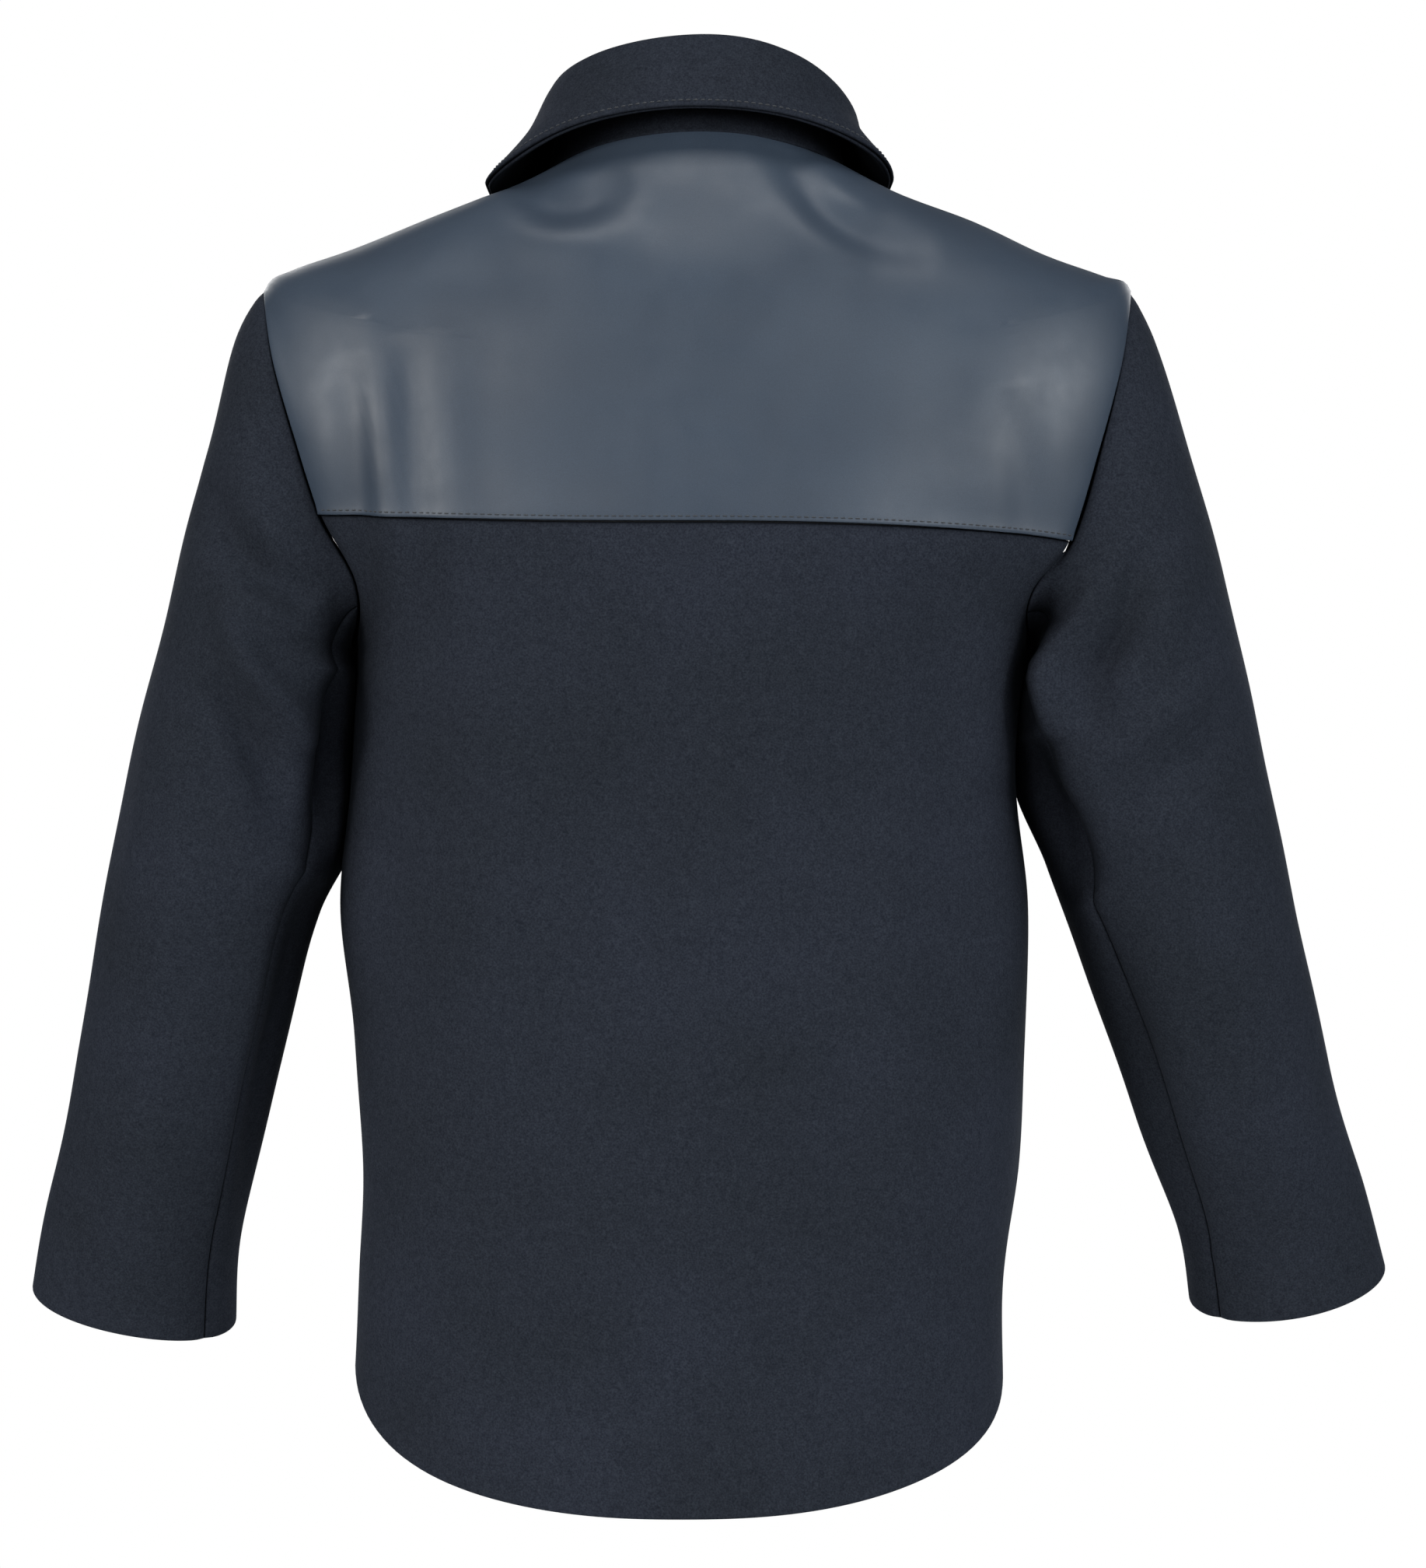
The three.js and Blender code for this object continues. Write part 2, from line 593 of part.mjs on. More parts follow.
const labelRows = [0.5, 0.75, 1.0];
add('label', sheet({
  surface: body,
  rows: labelRows,
  columns: steps(-22, 22, 4),
  outer: WOOL + GAP + FACING + LABEL_GAP,
  inner: WOOL + GAP + FACING + LABEL_GAP + LABEL,
}), 'label');

// The origin is the middle of the hang loop, where a peg holds the jacket.
group.position.copy(loopTape(0, 0).negate());

export default group;
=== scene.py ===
import math

import bpy
import numpy as np
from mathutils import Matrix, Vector


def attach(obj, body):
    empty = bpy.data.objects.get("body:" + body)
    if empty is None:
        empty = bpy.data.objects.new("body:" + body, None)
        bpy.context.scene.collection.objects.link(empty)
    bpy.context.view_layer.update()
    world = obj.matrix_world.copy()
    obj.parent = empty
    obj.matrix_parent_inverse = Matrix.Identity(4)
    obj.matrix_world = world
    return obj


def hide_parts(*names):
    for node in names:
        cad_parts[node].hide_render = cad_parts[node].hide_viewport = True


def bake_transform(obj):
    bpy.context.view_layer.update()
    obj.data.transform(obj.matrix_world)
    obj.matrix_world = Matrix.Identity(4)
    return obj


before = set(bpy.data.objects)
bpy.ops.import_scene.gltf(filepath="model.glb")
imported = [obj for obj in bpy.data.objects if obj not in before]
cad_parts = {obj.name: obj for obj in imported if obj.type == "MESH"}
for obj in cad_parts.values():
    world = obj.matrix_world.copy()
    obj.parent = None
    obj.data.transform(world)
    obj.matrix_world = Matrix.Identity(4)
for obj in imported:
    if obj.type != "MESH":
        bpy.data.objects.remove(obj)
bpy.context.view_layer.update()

# The garment is drawn in millimetres about its own centre line, with the wearer's left at +X and the
# front at -Y, as in part.mjs. ORIGIN moves it to where the middle of the hang loop is the origin.
MM = 0.001
ORIGIN = np.array([7.0, -41.2, 4.0])

# ---- driving dimensions, the same as the CAD model's ---------------------------------------------

WOOL = 3.0
HIDE = 2.0
LINING = 1.2
FACING = 2.0
GAP = 0.4
FRONT_GAP = 8.0
FACING_WIDTH = 72.0
COLLAR_THICK = 2.4

# half width, depth behind, depth in front, squareness behind, squareness in front,
# height at the back, at the wearer's left side, at the right side, at the front,
# sharpness of the change of height, its sharpness behind the right side, shift towards the left
BODY_RINGS = np.array([
    [88, 60, 84, 2.0, 2.0, 2, -16, -16, -96, 1.6, 1.6, -7],
    [122, 74, 96, 2.0, 2.0, -22, -30, -30, -112, 1.6, 1.6, -7],
    [163, 86, 106, 2.1, 2.1, -48, -45, -44, -130, 1.6, 1.6, -7],
    [205, 96, 114, 2.1, 2.2, -76, -60, -63, -148, 1.6, 1.6, -7],
    [240, 103, 120, 2.2, 2.3, -104, -72, -76, -166, 1.6, 1.6, -7],
    [258, 108, 125, 2.2, 2.4, -132, -84, -85, -184, 1.6, 1.6, -7],
    [268, 111, 128, 2.2, 2.5, -160, -125, -128, -202, 1.6, 1.6, -7],
    [264, 113, 130, 2.2, 2.6, -192, -168, -180, -220, 1.6, 1.6, -6.6],
    [246, 114, 131, 2.2, 2.7, -229, -219, -241, -240, 1.6, 1.6, -5.8],
    [213, 114, 131, 2.3, 2.8, -262, -262, -270, -264, 1.6, 1.6, -4.8],
    [200, 113, 130, 2.3, 2.8, -298, -298, -298, -298, 1.6, 1.6, -3.6],
    [197.5, 112, 128, 2.3, 2.8, -370, -370, -370, -370, 1.6, 1.6, 1.3],
    [204, 111, 127, 2.3, 2.8, -450, -450, -450, -450, 1.4, 1.4, 1],
    [199, 111, 125, 2.3, 2.8, -532, -528, -528, -528, 1.2, 1.2, -2.5],
    [195, 113, 124, 2.3, 2.8, -616, -600, -602, -598, 1.0, 1.0, -3.5],
    [191, 115, 124, 2.3, 2.8, -704, -662, -666, -656, 0.9, 0.9, 2],
    [192, 117, 124, 2.3, 2.8, -794, -714, -722, -704, 0.8, 0.8, 3.5],
])
SHOULDER_TIP = 5
BACK_YOKE_SEAM = 8
FRONT_YOKE_SEAM = 9
ARMPIT = 10
HEM = 16
ARMHOLE_SWEEP = 29
SIDE_SEAM = 90 + 0.8 * ARMHOLE_SWEEP

COLLAR_RINGS = np.array([
    [82, 54, 78, 2.0, 2.0, 5, -12, -12, -92, 1.6, 1.6, -7],
    [79, 52, 77, 2.0, 2.0, 28, 9, 6, -83, 1.6, 1.6, -7],
    [77, 52, 78, 2.0, 2.0, 47, 27, 17, -75, 1.6, 1.5, -8],
    [85, 60, 86, 2.0, 2.0, 57, 37, 25, -68, 1.6, 1.4, -9],
    [92, 68, 94, 2.0, 2.0, 50, 29, 17, -75, 1.6, 1.2, -9],
    [101, 76, 105, 2.0, 2.0, 32, 5, 3, -98, 1.7, 1.15, -5],
    [122, 83, 116, 2.0, 2.0, 12, -21, -19, -124, 1.8, 1.05, -2],
])

# outer edge x and z, inner edge x and z, middle y, half depth, forward tilt in degrees
LEFT_SLEEVE = np.array([
    [257, -84, 200, -298, -9, 68, 0],
    [271, -114, 200, -306, -9, 70, 0],
    [285, -178, 200, -320, -8, 75, 0],
    [308, -268, 199.5, -350, -7, 77, 1],
    [332, -368, 203.5, -408, -7, 73, 3],
    [351, -462, 228, -482, -11, 66, 6],
    [369, -560, 251, -576, -24, 57, 9],
    [387, -632, 269, -652, -40, 49, 14],
    [398, -683, 275, -706, -52, 46, 17],
], float)
RIGHT_SLEEVE = np.array([
    [257, -84, 200, -298, -9, 68, 0],
    [275, -114, 203, -306, -9, 70, 0],
    [298, -178, 204, -320, -8, 75, 0],
    [323, -268, 200.5, -350, -7, 77, 1],
    [347, -368, 210, -408, -7, 73, 3],
    [366, -462, 236, -482, -11, 66, 6],
    [390, -560, 270, -576, -24, 57, 9],
    [411, -624, 297, -644, -40, 49, 14],
    [426, -671, 306, -693, -52, 47, 19],
], float)
CUFF = 8
STANCE = -7

BUTTON_INSET = 22
BUTTON_TOP = -147
BUTTON_PITCH = 88
SHANK_HEIGHT = 2.4

POCKET = dict(top=13.25, bottom=15.45, inner=51, outer=178, swell=8)
FLAP = dict(top=13.02, bottom=13.86, inner=46.5, outer=181, rise=14, thick=3)
INNER_POCKET = dict(top=10.6, bottom=12.7, start=122, end=151, depth=6.2, swell=7)
HANG_LOOP = dict(half=32, reach=12, height=10, thick=1.6, z=-4)
FACING_BACK = 53.2  # the neck facing's inner face is half an ellipse at the loop's height
FACING_HALF = 82
LABEL = 0.8
LABEL_GAP = 1.2

SIDES = (("left", 1), ("right", -1))

# ---- surfaces -----------------------------------------------------------------------------------


def power(value, exponent):
    return np.sign(value) * np.abs(value) ** exponent


def smooth(value, low, high):
    t = np.clip((value - low) / (high - low), 0, 1)
    return t * t * (3 - 2 * t)


def along(table, t):
    """Rows of the table between its rows, on a smooth curve through them."""
    last = len(table) - 1
    i = np.clip(np.floor(t).astype(int), 0, last - 1)
    before, here, there, after = (table[np.clip(i + k, 0, last)] for k in (-1, 0, 1, 2))
    m1, m2, rise = (there - before) / 2, (after - here) / 2, there - here
    f = np.maximum(t - i, 0)[..., None]
    beyond = np.minimum(t, 0)[..., None]
    curved = here + m1 * f + (3 * rise - 2 * m1 - m2) * f**2 + (m1 + m2 - 2 * rise) * f**3
    return curved + m1 * beyond


def ring_point(ring, angle):
    """Angle in degrees: 0 at the back, 90 at the wearer's left, 180 in front."""
    half, behind, before, square_b, square_f = (ring[..., k] for k in range(5))
    z_back, z_left, z_right, z_front = (ring[..., k] for k in range(5, 9))
    z_side = np.where(angle < 0, z_right, z_left)
    s, c = np.sin(np.radians(angle)), np.cos(np.radians(angle))
    back = c > 0
    sharp = np.where(back & (angle < 0), ring[..., 10], ring[..., 9])
    roundness = 2 / np.where(back, square_b, square_f)
    z = z_side + (np.where(back, z_back, z_front) - z_side) * np.abs(c) ** sharp
    x = half * power(s, roundness) + ring[..., 11]
    y = np.where(back, behind, before) * power(c, roundness)
    return np.stack([x, y, z], -1)


def body(level, angle):
    return ring_point(along(BODY_RINGS, level), angle)


def collar(level, angle):
    return ring_point(along(COLLAR_RINGS, level), angle)


def armhole_reach(level):
    """How far, in degrees, the armhole reaches from the side line at this level."""
    t = np.clip((level - SHOULDER_TIP) / (ARMPIT - SHOULDER_TIP), 0, 1)
    return ARMHOLE_SWEEP * np.sqrt(np.maximum(0, 1 - (2 * t - 1) ** 2))


def front_angle(level, distance):
    """The angle at which the front of this ring is at a distance from the centre line."""
    ring = along(BODY_RINGS, np.asarray(level, float))
    return 180 - np.degrees(np.arcsin((distance / ring[..., 0]) ** (ring[..., 4] / 2)))


def arm(table, t, turn):
    """A sleeve drawn on the left: turn 0 is its outer line, 90 its back, 180 its inner line."""
    x_out, z_out, x_in, z_in, y_mid, depth, tilt = (along(table, t)[..., k] for k in range(7))
    c = np.cos(np.radians(turn))
    s = depth * np.sin(np.radians(turn))
    lean = np.radians(tilt)
    return np.stack([
        (x_out + x_in) / 2 + (x_out - x_in) / 2 * c,
        y_mid + s * np.cos(lean),
        (z_out + z_in) / 2 + (z_out - z_in) / 2 * c - s * np.sin(lean),
    ], -1)


def armhole(side, turn):
    level = SHOULDER_TIP + (ARMPIT - SHOULDER_TIP) * (1 - np.cos(np.radians(turn))) / 2
    return body(level, side * (90 - ARMHOLE_SWEEP * np.sin(np.radians(turn))))


def sleeve(side, t, turn):
    """A point of either sleeve. Its head takes the armhole's shape, which fades out down the arm."""
    table = LEFT_SLEEVE if side > 0 else RIGHT_SLEEVE
    flip = np.array([side, 1, 1])
    seam = armhole(side, turn) - arm(table, np.zeros_like(t), turn) * flip
    return arm(table, t, turn) * flip + seam * (np.maximum(0, 1 - t / 3.5) ** 2)[..., None]


def normal_of(surface, a, b, turn):
    """The outward normal at (a, b). turn is +1 or -1 by the way the surface is drawn."""
    step = 0.02
    da = surface(a + step, b) - surface(a - step, b)
    db = surface(a, b + 20 * step) - surface(a, b - 20 * step)
    n = np.cross(db, da)
    return turn * n / np.maximum(np.linalg.norm(n, axis=-1, keepdims=True), 1e-9)


# ---- folds --------------------------------------------------------------------------------------

# Each fold is a line seen square on, as (x, z) points, its half width and its height: a ridge is
# above 0 and a hollow below. "back" and "front" say which side of the garment it is on.
TORSO_BACK = [
    ([(112, 0), (88, -34), (64, -44), (30, -30)], 13, -6.0),
    ([(124, -26), (90, -62), (56, -66), (20, -56)], 17, 3.6),
    ([(60, -40), (20, -52), (-30, -50)], 20, -1.0),
    ([(-50, 4), (-68, -28), (-82, -48), (-112, -64), (-146, -72)], 13, -5.4),
    ([(-70, -14), (-88, -38), (-112, -50)], 11, 2.4),
    ([(-56, -36), (-74, -64), (-104, -84)], 14, 2.4),
    ([(78, -88), (20, -92), (-50, -92), (-92, -86)], 24, 1.2),
    ([(190, -140), (0, -168), (-190, -146)], 52, -5.0),
    ([(180, -96), (172, -190), (164, -300)], 14, 3.0),
    ([(192, -130), (188, -210), (182, -290)], 11, -3.4),
    ([(160, -120), (155, -205), (148, -300)], 12, -2.6),
    ([(140, -110), (137, -200), (134, -300)], 16, 2.0),
    ([(-172, -110), (-180, -160), (-172, -236)], 22, 2.6),
    ([(-184, -150), (-196, -205), (-200, -290)], 14, -3.0),
    ([(110, -250), (116, -400), (118, -600)], 26, 3.4),
    ([(168, -330), (174, -420), (168, -560)], 20, -2.6),
    ([(-104, -400), (-118, -520), (-126, -680)], 26, 3.4),
    ([(-130, -250), (-150, -330), (-156, -430)], 18, -2.8),
    ([(-30, -260), (-36, -420), (-30, -640)], 40, 1.6),
    ([(40, -260), (44, -420), (40, -640)], 38, -1.8),
    ([(150, -560), (138, -660), (140, -770)], 22, 2.4),
    ([(196, -395), (176, -414), (150, -424)], 11, -2.0),
    ([(-192, -372), (-170, -392), (-140, -400)], 11, -2.0),
    ([(190, -300), (172, -318), (148, -326)], 12, 1.8),
]
TORSO_FRONT = [
    ([(160, -150), (150, -230), (140, -330)], 20, -2.6),
    ([(-150, -150), (-150, -230), (-150, -330)], 20, -2.6),
    ([(60, -150), (110, -140), (160, -120)], 16, -2.6),
    ([(-60, -150), (-120, -140), (-170, -120)], 16, -2.6),
    ([(150, -280), (120, -340), (96, -420)], 18, 3.4),
    ([(-155, -280), (-128, -350), (-110, -440)], 18, 3.4),
    ([(90, -290), (70, -400), (60, -520)], 22, -2.4),
    ([(-90, -290), (-75, -400), (-62, -520)], 22, -2.4),
    ([(170, -300), (150, -380), (140, -460)], 14, -2.4),
    ([(-172, -310), (-156, -390), (-142, -470)], 14, -2.4),
]
LEFT_SLEEVE_BACK = [
    ([(290, -190), (266, -236), (240, -258), (214, -274)], 15, -10.0),
    ([(292, -232), (262, -264), (232, -282), (206, -292)], 10, 4.5),
    ([(268, -268), (255, -304), (238, -330), (225, -362)], 9, 12.0),
    ([(210, -312), (206, -345), (212, -385), (224, -430)], 13, -15.0),
    ([(278, -316), (258, -345), (241, -380), (236, -424)], 11, -9.0),
    ([(240, -420), (248, -500), (262, -570), (280, -640)], 14, 3.0),
    ([(214, -430), (232, -500), (250, -560), (262, -640)], 13, -9.0),
    ([(300, -330), (300, -420), (316, -520)], 22, 3.4),
    ([(318, -560), (330, -620), (340, -690)], 22, 2.6),
    ([(322, -330), (342, -440), (358, -540)], 13, -2.4),
    ([(356, -560), (368, -630), (374, -690)], 14, -1.8),
]
RIGHT_SLEEVE_BACK = [
    ([(-212, -284), (-219, -318), (-224, -354)], 8, 12.0),
    ([(-240, -256), (-226, -286), (-216, -312)], 8, 4.0),
    ([(-207, -262), (-201, -298), (-205, -326)], 8, -9.0),
    ([(-266, -240), (-253, -284), (-237, -314), (-238, -352)], 10, -10.0),
    ([(-205, -350), (-210, -376), (-222, -405), (-236, -446)], 13, -15.0),
    ([(-224, -386), (-256, -354), (-286, -334), (-322, -300)], 10, 4.0),
    ([(-238, -412), (-270, -380), (-300, -358), (-334, -330)], 11, -3.6),
    ([(-290, -226), (-284, -270), (-270, -312)], 11, 3.4),
    ([(-244, -450), (-262, -520), (-286, -590), (-310, -660)], 13, -7.0),
    ([(-300, -440), (-330, -540), (-362, -650)], 24, 3.4),
    ([(-268, -470), (-290, -540), (-316, -620)], 14, 2.0),
    ([(-384, -540), (-394, -610), (-400, -670)], 14, -1.8),
]
SLEEVE_FRONT = [
    ([(250, -150), (262, -200), (250, -260), (224, -300)], 11, -5.0),
    ([(284, -190), (276, -250), (248, -300)], 12, 4.0),
    ([(300, -260), (290, -320), (250, -360)], 13, -5.0),
    ([(318, -330), (296, -390), (256, -410)], 14, 4.0),
    ([(338, -420), (300, -450), (256, -470)], 14, -4.5),
    ([(348, -480), (310, -505), (270, -516)], 15, 3.4),
    ([(222, -340), (226, -400), (240, -460)], 12, -4.0),
]


def curve(points, count=8):
    """A smooth curve through the points."""
    p = np.array(points, float)
    t = np.linspace(0, len(p) - 1, (len(p) - 1) * count + 1)
    return along(p, t)


FOLD_PEAK = 1.15  # makes up for the taper towards a fold's two ends
WAVES = 7
WAVE_HEIGHT = 0.28
WAVE_LENGTHS = (70, 170)


def nearest(line, where):
    """The distance from each point to a broken line, and how far along it that is from 0 to 1."""
    best = np.full(where.shape[:-1], 1e9)
    share = np.zeros_like(best)
    for k, (p, q) in enumerate(zip(line[:-1], line[1:])):
        d = q - p
        t = np.clip((where - p) @ d / max(d @ d, 1e-12), 0, 1)
        distance = np.linalg.norm(where - p - t[..., None] * d, axis=-1)
        share = np.where(distance < best, (k + t) / (len(line) - 1), share)
        best = np.minimum(best, distance)
    return best, share


def relief(point, normal, back, front, seed):
    """How far the cloth stands out from its smooth shape, in mm, at each point."""
    flat = point[..., [0, 2]]
    out = np.zeros(point.shape[:-1])
    for folds, facing in ((back, 1), (front, -1)):
        seen = smooth(facing * normal[..., 1], 0.04, 0.5)
        here = np.zeros_like(out)
        for points, width, height in folds:
            distance, share = nearest(curve(points), flat)
            taper = 4 * share * (1 - share)
            here += height * FOLD_PEAK * taper * np.exp(-(distance / width) ** 2)
        out += seen * here
    rng = np.random.default_rng(seed)
    for _ in range(WAVES):
        wave = rng.normal(size=3)
        wave *= 2 * math.pi / rng.uniform(*WAVE_LENGTHS) / np.linalg.norm(wave)
        out += WAVE_HEIGHT * np.sin(point @ wave + rng.uniform(0, 6.28))
    return out


def mirrored(folds):
    return [([(-x, z) for x, z in points], width, height) for points, width, height in folds]


ZONES = {
    "torso": (body, 1, TORSO_BACK, TORSO_FRONT, 11),
    "collar": (collar, 1, [], [], 12),
    "sleeve_left": (lambda t, u: sleeve(1, t, u), -1, LEFT_SLEEVE_BACK, SLEEVE_FRONT, 13),
    "sleeve_right": (lambda t, u: sleeve(-1, t, u), 1, RIGHT_SLEEVE_BACK, mirrored(SLEEVE_FRONT), 14),
}


LEAN = 9  # how far the inner side of a sleeve swells towards the body
CLEARANCE = 1.2


def lean_in(side, t, point, normal):
    """Lets the inner side of a sleeve swell out below the armpit until it rests on the body's side."""
    x, y, z = side * point[..., 0], point[..., 1], point[..., 2]
    ring = along(BODY_RINGS, np.interp(-z, [298, 370, 450], [10, 11, 12]))
    depth = np.where(y > 0, ring[..., 1], ring[..., 2])
    square = np.where(y > 0, ring[..., 3], ring[..., 4])
    across = (1 - np.minimum(np.abs(y) / depth, 1) ** square) ** (1 / square)
    flank = ring[..., 0] * across + side * ring[..., 11]
    reach = 400 if side > 0 else 372
    low = smooth(z, -reach - 55, -reach) * (1 - smooth(z, -318, -296))
    inward = smooth(-side * normal[..., 0], 0.2, 0.8)
    moved = np.maximum(x - LEAN * low * inward, flank + CLEARANCE)
    below = smooth(t, 0.4, 1.6) * (z > -460)
    return np.stack([side * (x + (moved - x) * below), y, z], -1)


def drape(zone, a, b):
    """Points of the zone's cloth at (a, b), and their normals."""
    surface, turn, back, front, seed = ZONES[zone]
    point = surface(a, b)
    normal = normal_of(surface, a, b, turn)
    out = relief(point, normal, back, front, seed)
    if zone == "torso":
        out *= smooth(a, -0.1, 0.5)  # the neck seam lies flat under the collar
        out *= smooth(np.abs(np.abs(b) - 90) - armhole_reach(a), 0, 5)  # and the armholes aren't folded
    if zone.startswith("sleeve"):
        out *= smooth(a, 0.0, 0.8)  # the sleeve's seam follows the armhole
    point = point + normal * out[..., None]
    if zone.startswith("sleeve"):
        point = lean_in(1 if zone == "sleeve_left" else -1, a, point, normal)
    return point, normal


# ---- meshes -------------------------------------------------------------------------------------

NEAR = 25.0  # mm; nothing that an edge does to the cloth reaches this far
EDGE = np.array([0, 0.3, 0.9, 1.8, 3.2, 5.5, 9.0])  # mm from an edge, where a layer of cloth turns over


def metres(points):
    return (np.asarray(points) + ORIGIN) * MM


def new_object(name, vertices, faces, slot):
    """A smooth-shaded mesh object from points in the garment's own millimetres."""
    mesh = bpy.data.meshes.new(name)
    mesh.from_pydata(metres(vertices).tolist(), [], faces)
    mesh.polygons.foreach_set("use_smooth", [True] * len(mesh.polygons))
    mesh.update()
    obj = bpy.data.objects.new(name, mesh)
    bpy.context.scene.collection.objects.link(obj)
    obj.data.materials.append(MATERIALS[slot])
    return obj


def spaced(length, pitch_count):
    """Distances along a row: close together at both ends and even between."""
    near = EDGE * min(1, length / 40)
    middle = np.linspace(near[-1], length - near[-1], pitch_count)[1:-1]
    return np.concatenate([near, middle, length - near[::-1]])


def arc(points):
    return np.concatenate([[0], np.cumsum(np.linalg.norm(np.diff(points, axis=0), axis=1))])


def levels_between(zone, angle, start, end, pitch, first=True, last=True):
    """Levels about pitch mm apart on the line at this angle, closer at the edges asked for."""
    surface = ZONES[zone][0]
    t = np.linspace(start, end, 200)
    s = arc(surface(t, np.full_like(t, angle)))
    d = np.linspace(0, s[-1], max(4, round(s[-1] / pitch)) + 1)
    if first:
        d = np.concatenate([EDGE, d[d > EDGE[-1] + 1]])
    if last:
        d = np.concatenate([d[d < s[-1] - EDGE[-1] - 1], s[-1] - EDGE[::-1]])
    return np.interp(d, s, t)


def armhole_levels(first, last, step):
    """Levels between two, spaced as the armhole's outline needs."""
    turn = [math.degrees(math.acos(1 - 2 * (v - SHOULDER_TIP) / (ARMPIT - SHOULDER_TIP)))
            for v in (first, last)]
    count = max(2, round((turn[1] - turn[0]) / step))
    around = np.radians(np.linspace(turn[0], turn[1], count + 1))
    return SHOULDER_TIP + (ARMPIT - SHOULDER_TIP) * (1 - np.cos(around)) / 2


def even_columns(zone, levels, low, high, count):
    """A grid of angles: each row runs from low(level) to high(level) in even steps of length."""
    surface = ZONES[zone][0]
    rows = []
    for level in levels:
        b = np.linspace(float(low(level)), float(high(level)), 60)
        s = arc(surface(np.full_like(b, level), b))
        rows.append(np.interp(spaced(s[-1], count), s, b))
    return np.array(rows)


def grid(zone, level, low, high, count, side=1):
    """Levels and angles of an even grid, on the wearer's left (side 1) or right (side -1)."""
    b = side * even_columns(zone, level, low, high, count)
    return np.broadcast_to(level[:, None], b.shape), b


def cloth(name, slot, zone, a, b, thick, inset=0.0, keep=None, sink=1.3, sink_width=4.5, free=None,
          proud=None, swell=None, shift=None):
    """A closed layer of cloth over the grid (a, b), inset mm inside the zone's surface.
    Its two faces meet at a rounded edge. Edges are sewn, so they sink, unless free(a, b) says not.
    proud(a, b) and swell(a, b) give mm that it stands out by; keep masks the grid's cells."""
    p, n0 = drape(zone, a, b)
    if shift is not None:
        p = p + n0 * shift(a, b)[..., None]
    dr, dc = np.gradient(p, axis=0), np.gradient(p, axis=1)
    n = np.cross(dc, dr)
    n *= np.sign((n * n0).sum())
    size = np.linalg.norm(n, axis=-1, keepdims=True)
    n = np.where(size > 1e-6, n / np.maximum(size, 1e-12), n0)

    key = np.round(p.reshape(-1, 3) * 50).astype(np.int64)
    _, first, ids = np.unique(key, axis=0, return_index=True, return_inverse=True)
    ids = ids.reshape(a.shape)
    points = p.reshape(-1, 3)[first]
    total = np.zeros_like(points)
    np.add.at(total, ids.ravel(), n.reshape(-1, 3))
    normals = total / np.maximum(np.linalg.norm(total, axis=1, keepdims=True), 1e-9)
    pa, pb = a.ravel()[first], b.ravel()[first]

    cells = np.stack([ids[:-1, :-1], ids[:-1, 1:], ids[1:, 1:], ids[1:, :-1]], -1)
    cells = cells[keep] if keep is not None else cells.reshape(-1, 4)
    faces = []
    for cell in cells.tolist():
        ring = [v for i, v in enumerate(cell) if v != cell[i - 1]]
        if len(ring) > 2 and len(set(ring)) == len(ring):
            faces.append(ring)
    used = {}
    for f in faces:
        for i, v in enumerate(f):
            used[(f[i - 1], v)] = used.get((f[i - 1], v), 0) + 1
    rim = [e for e in used if (e[1], e[0]) not in used]

    edge = np.full(len(points), 1e3)
    sewn = np.full(len(points), 1e3)
    for p0, p1 in rim:
        start, d = points[p0], points[p1] - points[p0]
        near = np.flatnonzero(np.abs(points - start).max(axis=1) < NEAR)
        there = points[near] - start
        t = np.clip(there @ d / max(d @ d, 1e-12), 0, 1)
        away = np.linalg.norm(there - t[:, None] * d, axis=1)
        edge[near] = np.minimum(edge[near], away)
        if free is None or not (free(pa[p0], pb[p0]) and free(pa[p1], pb[p1])):
            sewn[near] = np.minimum(sewn[near], away)

    turned = np.minimum(edge / (0.6 * thick), 1)
    half = thick / 2 * np.sqrt(np.maximum(0, 1 - (1 - turned) ** 2))
    middle = inset + thick / 2 + sink * np.exp(-(sewn / sink_width) ** 2)
    if proud is not None:
        middle = middle - proud(pa, pb)
    extra = swell(pa, pb) if swell is not None else 0
    outer = points - normals * (middle - half - extra)[:, None]
    inner = points - normals * (middle + half)[:, None]
    on_rim = np.zeros(len(points), bool)
    on_rim[[v for e in rim for v in e]] = True
    where = np.arange(len(points))
    back = np.where(on_rim, where, len(points) + np.cumsum(~on_rim) - 1)
    vertices = np.vstack([np.where(on_rim[:, None], (outer + inner) / 2, outer), inner[~on_rim]])
    both = faces + [[int(back[v]) for v in reversed(f)] for f in faces]
    loose = np.setdiff1d(np.arange(len(vertices)), np.unique([v for f in both for v in f]))
    if len(loose):
        keep_vertex = np.ones(len(vertices), bool)
        keep_vertex[loose] = False
        renumber = np.cumsum(keep_vertex) - 1
        vertices = vertices[keep_vertex]
        both = [[int(renumber[v]) for v in f] for f in both]
    corners = np.array([[f[0], f[i], f[i + 1]] for f in both for i in range(1, len(f) - 1)])
    q = vertices[corners]
    if np.einsum("ij,ij->", q[:, 0], np.cross(q[:, 1], q[:, 2])) < 0:
        both = [f[::-1] for f in both]
    obj = new_object(name, vertices, both, slot)

    flat_rows = np.linalg.norm(np.diff(ZONES[zone][0](a, b), axis=1), axis=2)
    flat_columns = np.linalg.norm(np.diff(ZONES[zone][0](a, b), axis=0), axis=2)
    if keep is not None:
        flat_rows = flat_rows[:-1] * keep
    obj["cut"] = [flat_rows.sum(axis=1).max() * MM, np.median(flat_columns.sum(axis=0)) * MM]
    return obj


FULLEST_CUT = 0.97  # the most of its own box that a piece's flat area is taken to fill


